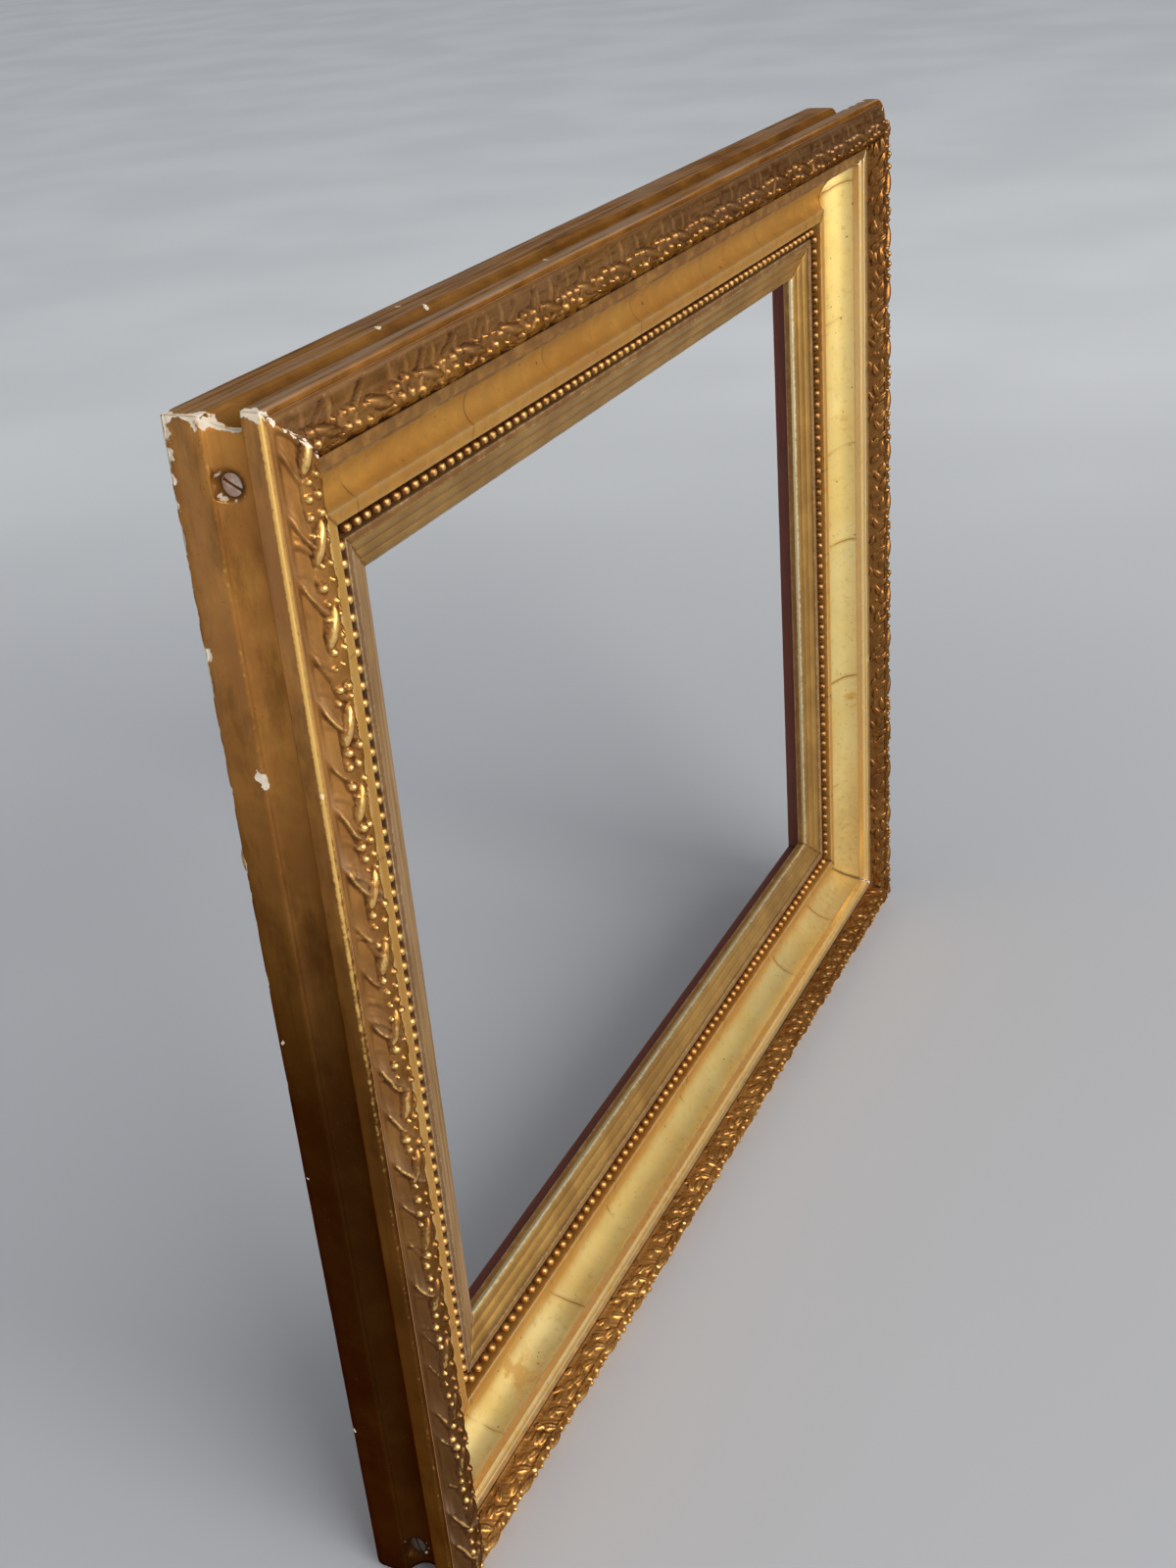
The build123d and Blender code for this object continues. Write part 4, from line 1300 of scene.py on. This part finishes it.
# %% Beads
BEAD_RADIUS = 2.25
BEAD_PITCH = 5.9
BEAD_D = 19.5
BEAD_TOP = 20.1
BASE_TOP = 16.7
BASE_STEP = 3.0
BEAD_AROUND = 10
BEAD_RINGS = 5
BEAD_TONES = {"top": 0.60, "right": 0.70}
BASE_ROWS = [
    [16.8, CHANNEL_FLOOR, 0.0, GILT],
    [22.2, CHANNEL_FLOOR, 0.0, GILT],
    [22.2, BASE_TOP, 0.2, GILT],
    [16.8, BASE_TOP, 0.2, GILT],
]
base_outline = section(BASE_ROWS, BASE_STEP)


def ball():
    """Unit sphere with its pole forward: rings of points, the two poles last, and its faces."""
    lift = np.linspace(-np.pi / 2, np.pi / 2, BEAD_RINGS + 2)[1:-1]
    turn_by = np.arange(BEAD_AROUND) * 2 * np.pi / BEAD_AROUND
    ring_d = np.cos(lift)[:, None] * np.cos(turn_by)
    ring_s = np.cos(lift)[:, None] * np.sin(turn_by)
    ring_t = np.broadcast_to(np.sin(lift)[:, None], ring_d.shape)
    grid = np.stack([ring_s, ring_d, ring_t], -1).reshape(-1, 3)
    points = np.vstack([grid, [(0, 0, -1), (0, 0, 1)]])
    index, ahead, quads = ring_faces(BEAD_RINGS, BEAD_AROUND)
    south = np.full(BEAD_AROUND, len(grid))
    bottom = np.stack([south, index[0], ahead[0]], -1)
    top = np.stack([south + 1, ahead[-1], index[-1]], -1)
    return points, quads, np.vstack([bottom, top])


def dress_beads(side):
    """Bead strip: a base along one side and a row of balls, spaced evenly between the mitres."""
    s, base_points = moulding(side, base_outline, np.array([-1.0, 1.0]))
    quads, ends = tube_faces(*s.shape)
    row = 2 * half_sight(side) + 2 * (BEAD_D - BEAD_RADIUS) - 2 * BEAD_RADIUS
    count = int(row / BEAD_PITCH) + 1
    centres = (np.arange(count) - (count - 1) / 2) * row / (count - 1)
    points, ball_quads, ball_tris = ball()
    uneven = np.random.default_rng(70 + list(SIDES).index(side)).uniform(-1.0, 1.0, (count, 3))
    radius = BEAD_RADIUS * (0.985 + 0.03 * uneven[:, :1])
    bead_s = centres[:, None] + 0.12 * uneven[:, 1:2] + radius * points[None, :, 0]
    bead_d = BEAD_D + 0.10 * uneven[:, 2:] + radius * points[None, :, 1]
    bead_t = BEAD_TOP - radius + radius * points[None, :, 2]
    beads = place(side, bead_s, bead_d, bead_t).reshape(-1, 3)
    shift = base_points.reshape(-1, 3).shape[0] + np.arange(count) * len(points)
    all_quads = (ball_quads[None] + shift[:, None, None]).reshape(-1, 4)
    all_tris = (ball_tris[None] + shift[:, None, None]).reshape(-1, 3)
    low = np.clip((0.15 - points[:, 2]) / 0.75, 0.0, 1.0)
    high = np.clip((points[:, 2] - 0.55) / 0.4, 0.0, 1.0)
    base_count = s.size
    fields = {
        "dirt_and_shade": np.concatenate([np.ones(base_count), np.tile(low, count)]),
        "edge": np.concatenate([np.zeros(base_count), np.tile(0.8 * high, count)]),
        "chip": np.zeros(base_count + beads.shape[0]),
        "tone": np.full(base_count + beads.shape[0], BEAD_TONES.get(side, 0.0)),
        "along": np.concatenate([s.ravel(), bead_s.ravel()]) * MM,
        "across": np.concatenate([np.zeros(base_count), bead_d.ravel()]) * MM,
    }
    groups = [quads, ends, all_quads, all_tris]
    every = np.vstack([base_points.reshape(-1, 3), beads])
    return put_piece(
        f"{side}_bead_row", every, groups, [bead_gilt], fields, "frame",
        [f"{side}_bead_strip"],
    )


dress_sides("bead rows", dress_beads)

# %% [markdown]
# ## Corner screws
# Each side rail is screwed to the top and bottom rails near its ends. Only the heads show, sunk in
# the hollow of the rail's outer side, with toning in their slots. A head is a lathe shape: a profile
# of radius and height turned round its axis, with the slot pressed in across it.

# %% Screws
SLOT_HALF = 0.5
SLOT_DEPTH = 0.8
SCREW_TURNS = 48
SLOT_TILTS = (0.5, 1.3, 2.2, 0.2)
SCREW_DIRT = (0.0, 0.9, 0.3, 0.9)
shank_profile = np.array([(0.02, -36.0), (1.0, -34.0), (2.1, -31.0), (2.1, -2.6), (3.4, -0.25)])
head_rim = np.column_stack([np.linspace(3.5, 0.02, 16), 0.28 * (1 - np.linspace(1.0, 0.0, 16) ** 2)])
SCREW_PROFILE = np.vstack([shank_profile, head_rim])


def screw_points(side, run, tilt):
    """Lathe grid of one screw: axis inward along d, with |x| under the slot's half width pressed in."""
    angle = np.arange(SCREW_TURNS) * 2 * np.pi / SCREW_TURNS
    radius = SCREW_PROFILE[:, :1]
    along = radius * np.cos(angle)
    forward = radius * np.sin(angle)
    side_on = along * np.cos(tilt) + forward * np.sin(tilt)
    slot = np.clip((SLOT_HALF + 0.15 - np.abs(side_on)) / 0.3, 0.0, 1.0)
    on_face = (SCREW_PROFILE[:, 1:] > -0.1) * (radius < 3.45)
    height = SCREW_PROFILE[:, 1:] - SLOT_DEPTH * slot * on_face
    return place(side, run + along, SCREW_FACE_D + height, SCREW_HEIGHT + forward)


def dress_screws():
    """The four corner screws as one piece."""
    index, _, quads = ring_faces(len(SCREW_PROFILE), SCREW_TURNS)
    ends = np.stack([index[0], index[-1, ::-1]])
    spots = [(side, run) for side, runs in SCREW_RUNS.items() for run in runs]
    screw_grids = [screw_points(*spot, tilt) for spot, tilt in zip(spots, SLOT_TILTS)]
    points = np.concatenate(screw_grids).reshape(-1, 3)
    shift = np.arange(len(spots)) * index.size
    groups = [
        (quads[None] + shift[:, None, None]).reshape(-1, 4),
        (ends[None] + shift[:, None, None]).reshape(-1, SCREW_TURNS),
    ]
    fields = {"dirt_and_shade": np.repeat(SCREW_DIRT, index.size)}
    return put_piece(
        "corner_screw_heads", points, groups, [steel], fields, "frame", ["corner_screws"]
    )


screws = dress_screws()
print("screws", len(screws.data.polygons))

# %% [markdown]
# ## Hangers
# Behind each side rail is a screw eye with a loose ring, as such frames have for their wire. Both
# are wire bent round: a small circle carried round a large one.

# %% Screw eyes and rings
EYE_X = 253.0
EYE_Y = 22.25
EYE_Z = 330.0
EYE_RADIUS = 4.0
EYE_WIRE = 1.2
RING_RADIUS = 9.0
RING_WIRE = 1.0
RING_DROP = 10.5
SHANK_END = 2.1


def torus(centre, radius, wire, u_axis, v_axis, around=64, across=16):
    """Ring of wire: centre + (radius + wire cos b) (u cos a + v sin a) + wire sin b (u x v)."""
    u = np.array(u_axis, float)
    v = np.array(v_axis, float)
    a = (np.arange(around) * 2 * np.pi / around)[:, None, None]
    b = (np.arange(across) * 2 * np.pi / across)[None, :, None]
    spoke = u * np.cos(a) + v * np.sin(a)
    points = np.array(centre) + (radius + wire * np.cos(b)) * spoke + wire * np.sin(b) * np.cross(u, v)
    index = np.arange(around * across).reshape(around, across)
    next_a = np.roll(index, -1, 0)
    next_b = np.roll(index, -1, 1)
    both = np.roll(next_a, -1, 1)
    quads = np.stack([index, next_a, both, next_b], -1).reshape(-1, 4)
    return points.reshape(-1, 3) * MM, quads


def shank(centre, wire, start_y, end_y, around=16):
    """Straight wire along Y from start_y to end_y, closed at both ends."""
    a = np.arange(around) * 2 * np.pi / around
    y = np.array([start_y, end_y])[:, None]
    x = centre[0] + wire * np.cos(a)
    z = centre[2] + wire * np.sin(a)
    points = np.stack(np.broadcast_arrays(x, y, z), -1).reshape(-1, 3) * MM
    index, _, quads = ring_faces(2, around)
    ends = np.stack([index[0], index[1, ::-1]])
    return points, quads, ends


def dress_eyes():
    """Both screw eyes: a loop across the rail's back and a shank into the wood."""
    points = []
    quads = []
    ends = []
    for hand in (-1, 1):
        centre = (hand * EYE_X, EYE_Y, EYE_Z)
        loop, loop_quads = torus(centre, EYE_RADIUS, EYE_WIRE, (0, 1, 0), (0, 0, 1))
        stem, stem_quads, stem_ends = shank(centre, EYE_WIRE, EYE_Y - EYE_RADIUS, SHANK_END)
        start = sum(len(block) for block in points)
        points += [loop, stem]
        quads += [loop_quads + start, stem_quads + start + len(loop)]
        ends += [stem_ends + start + len(loop)]
    groups = [np.vstack(quads), np.vstack(ends)]
    return put_piece(
        "brass_screw_eyes", np.vstack(points), groups, [brass], {}, "frame",
        ["screw_eyes"],
    )


def dress_ring(side, hand):
    """One hanging ring, through its eye and flat behind the rail."""
    centre = (hand * EYE_X, EYE_Y, EYE_Z - RING_DROP)
    points, quads = torus(centre, RING_RADIUS, RING_WIRE, (0, 0, 1), (1, 0, 0), 72)
    return put_piece(
        f"{side}_brass_ring", points, [quads], [brass], {}, f"{side}_ring",
        [f"{side}_hanging_ring"],
    )


eyes = dress_eyes()
rings = [dress_ring("left", -1), dress_ring("right", 1)]
print("hangers", len(eyes.data.polygons), [len(ring.data.polygons) for ring in rings])
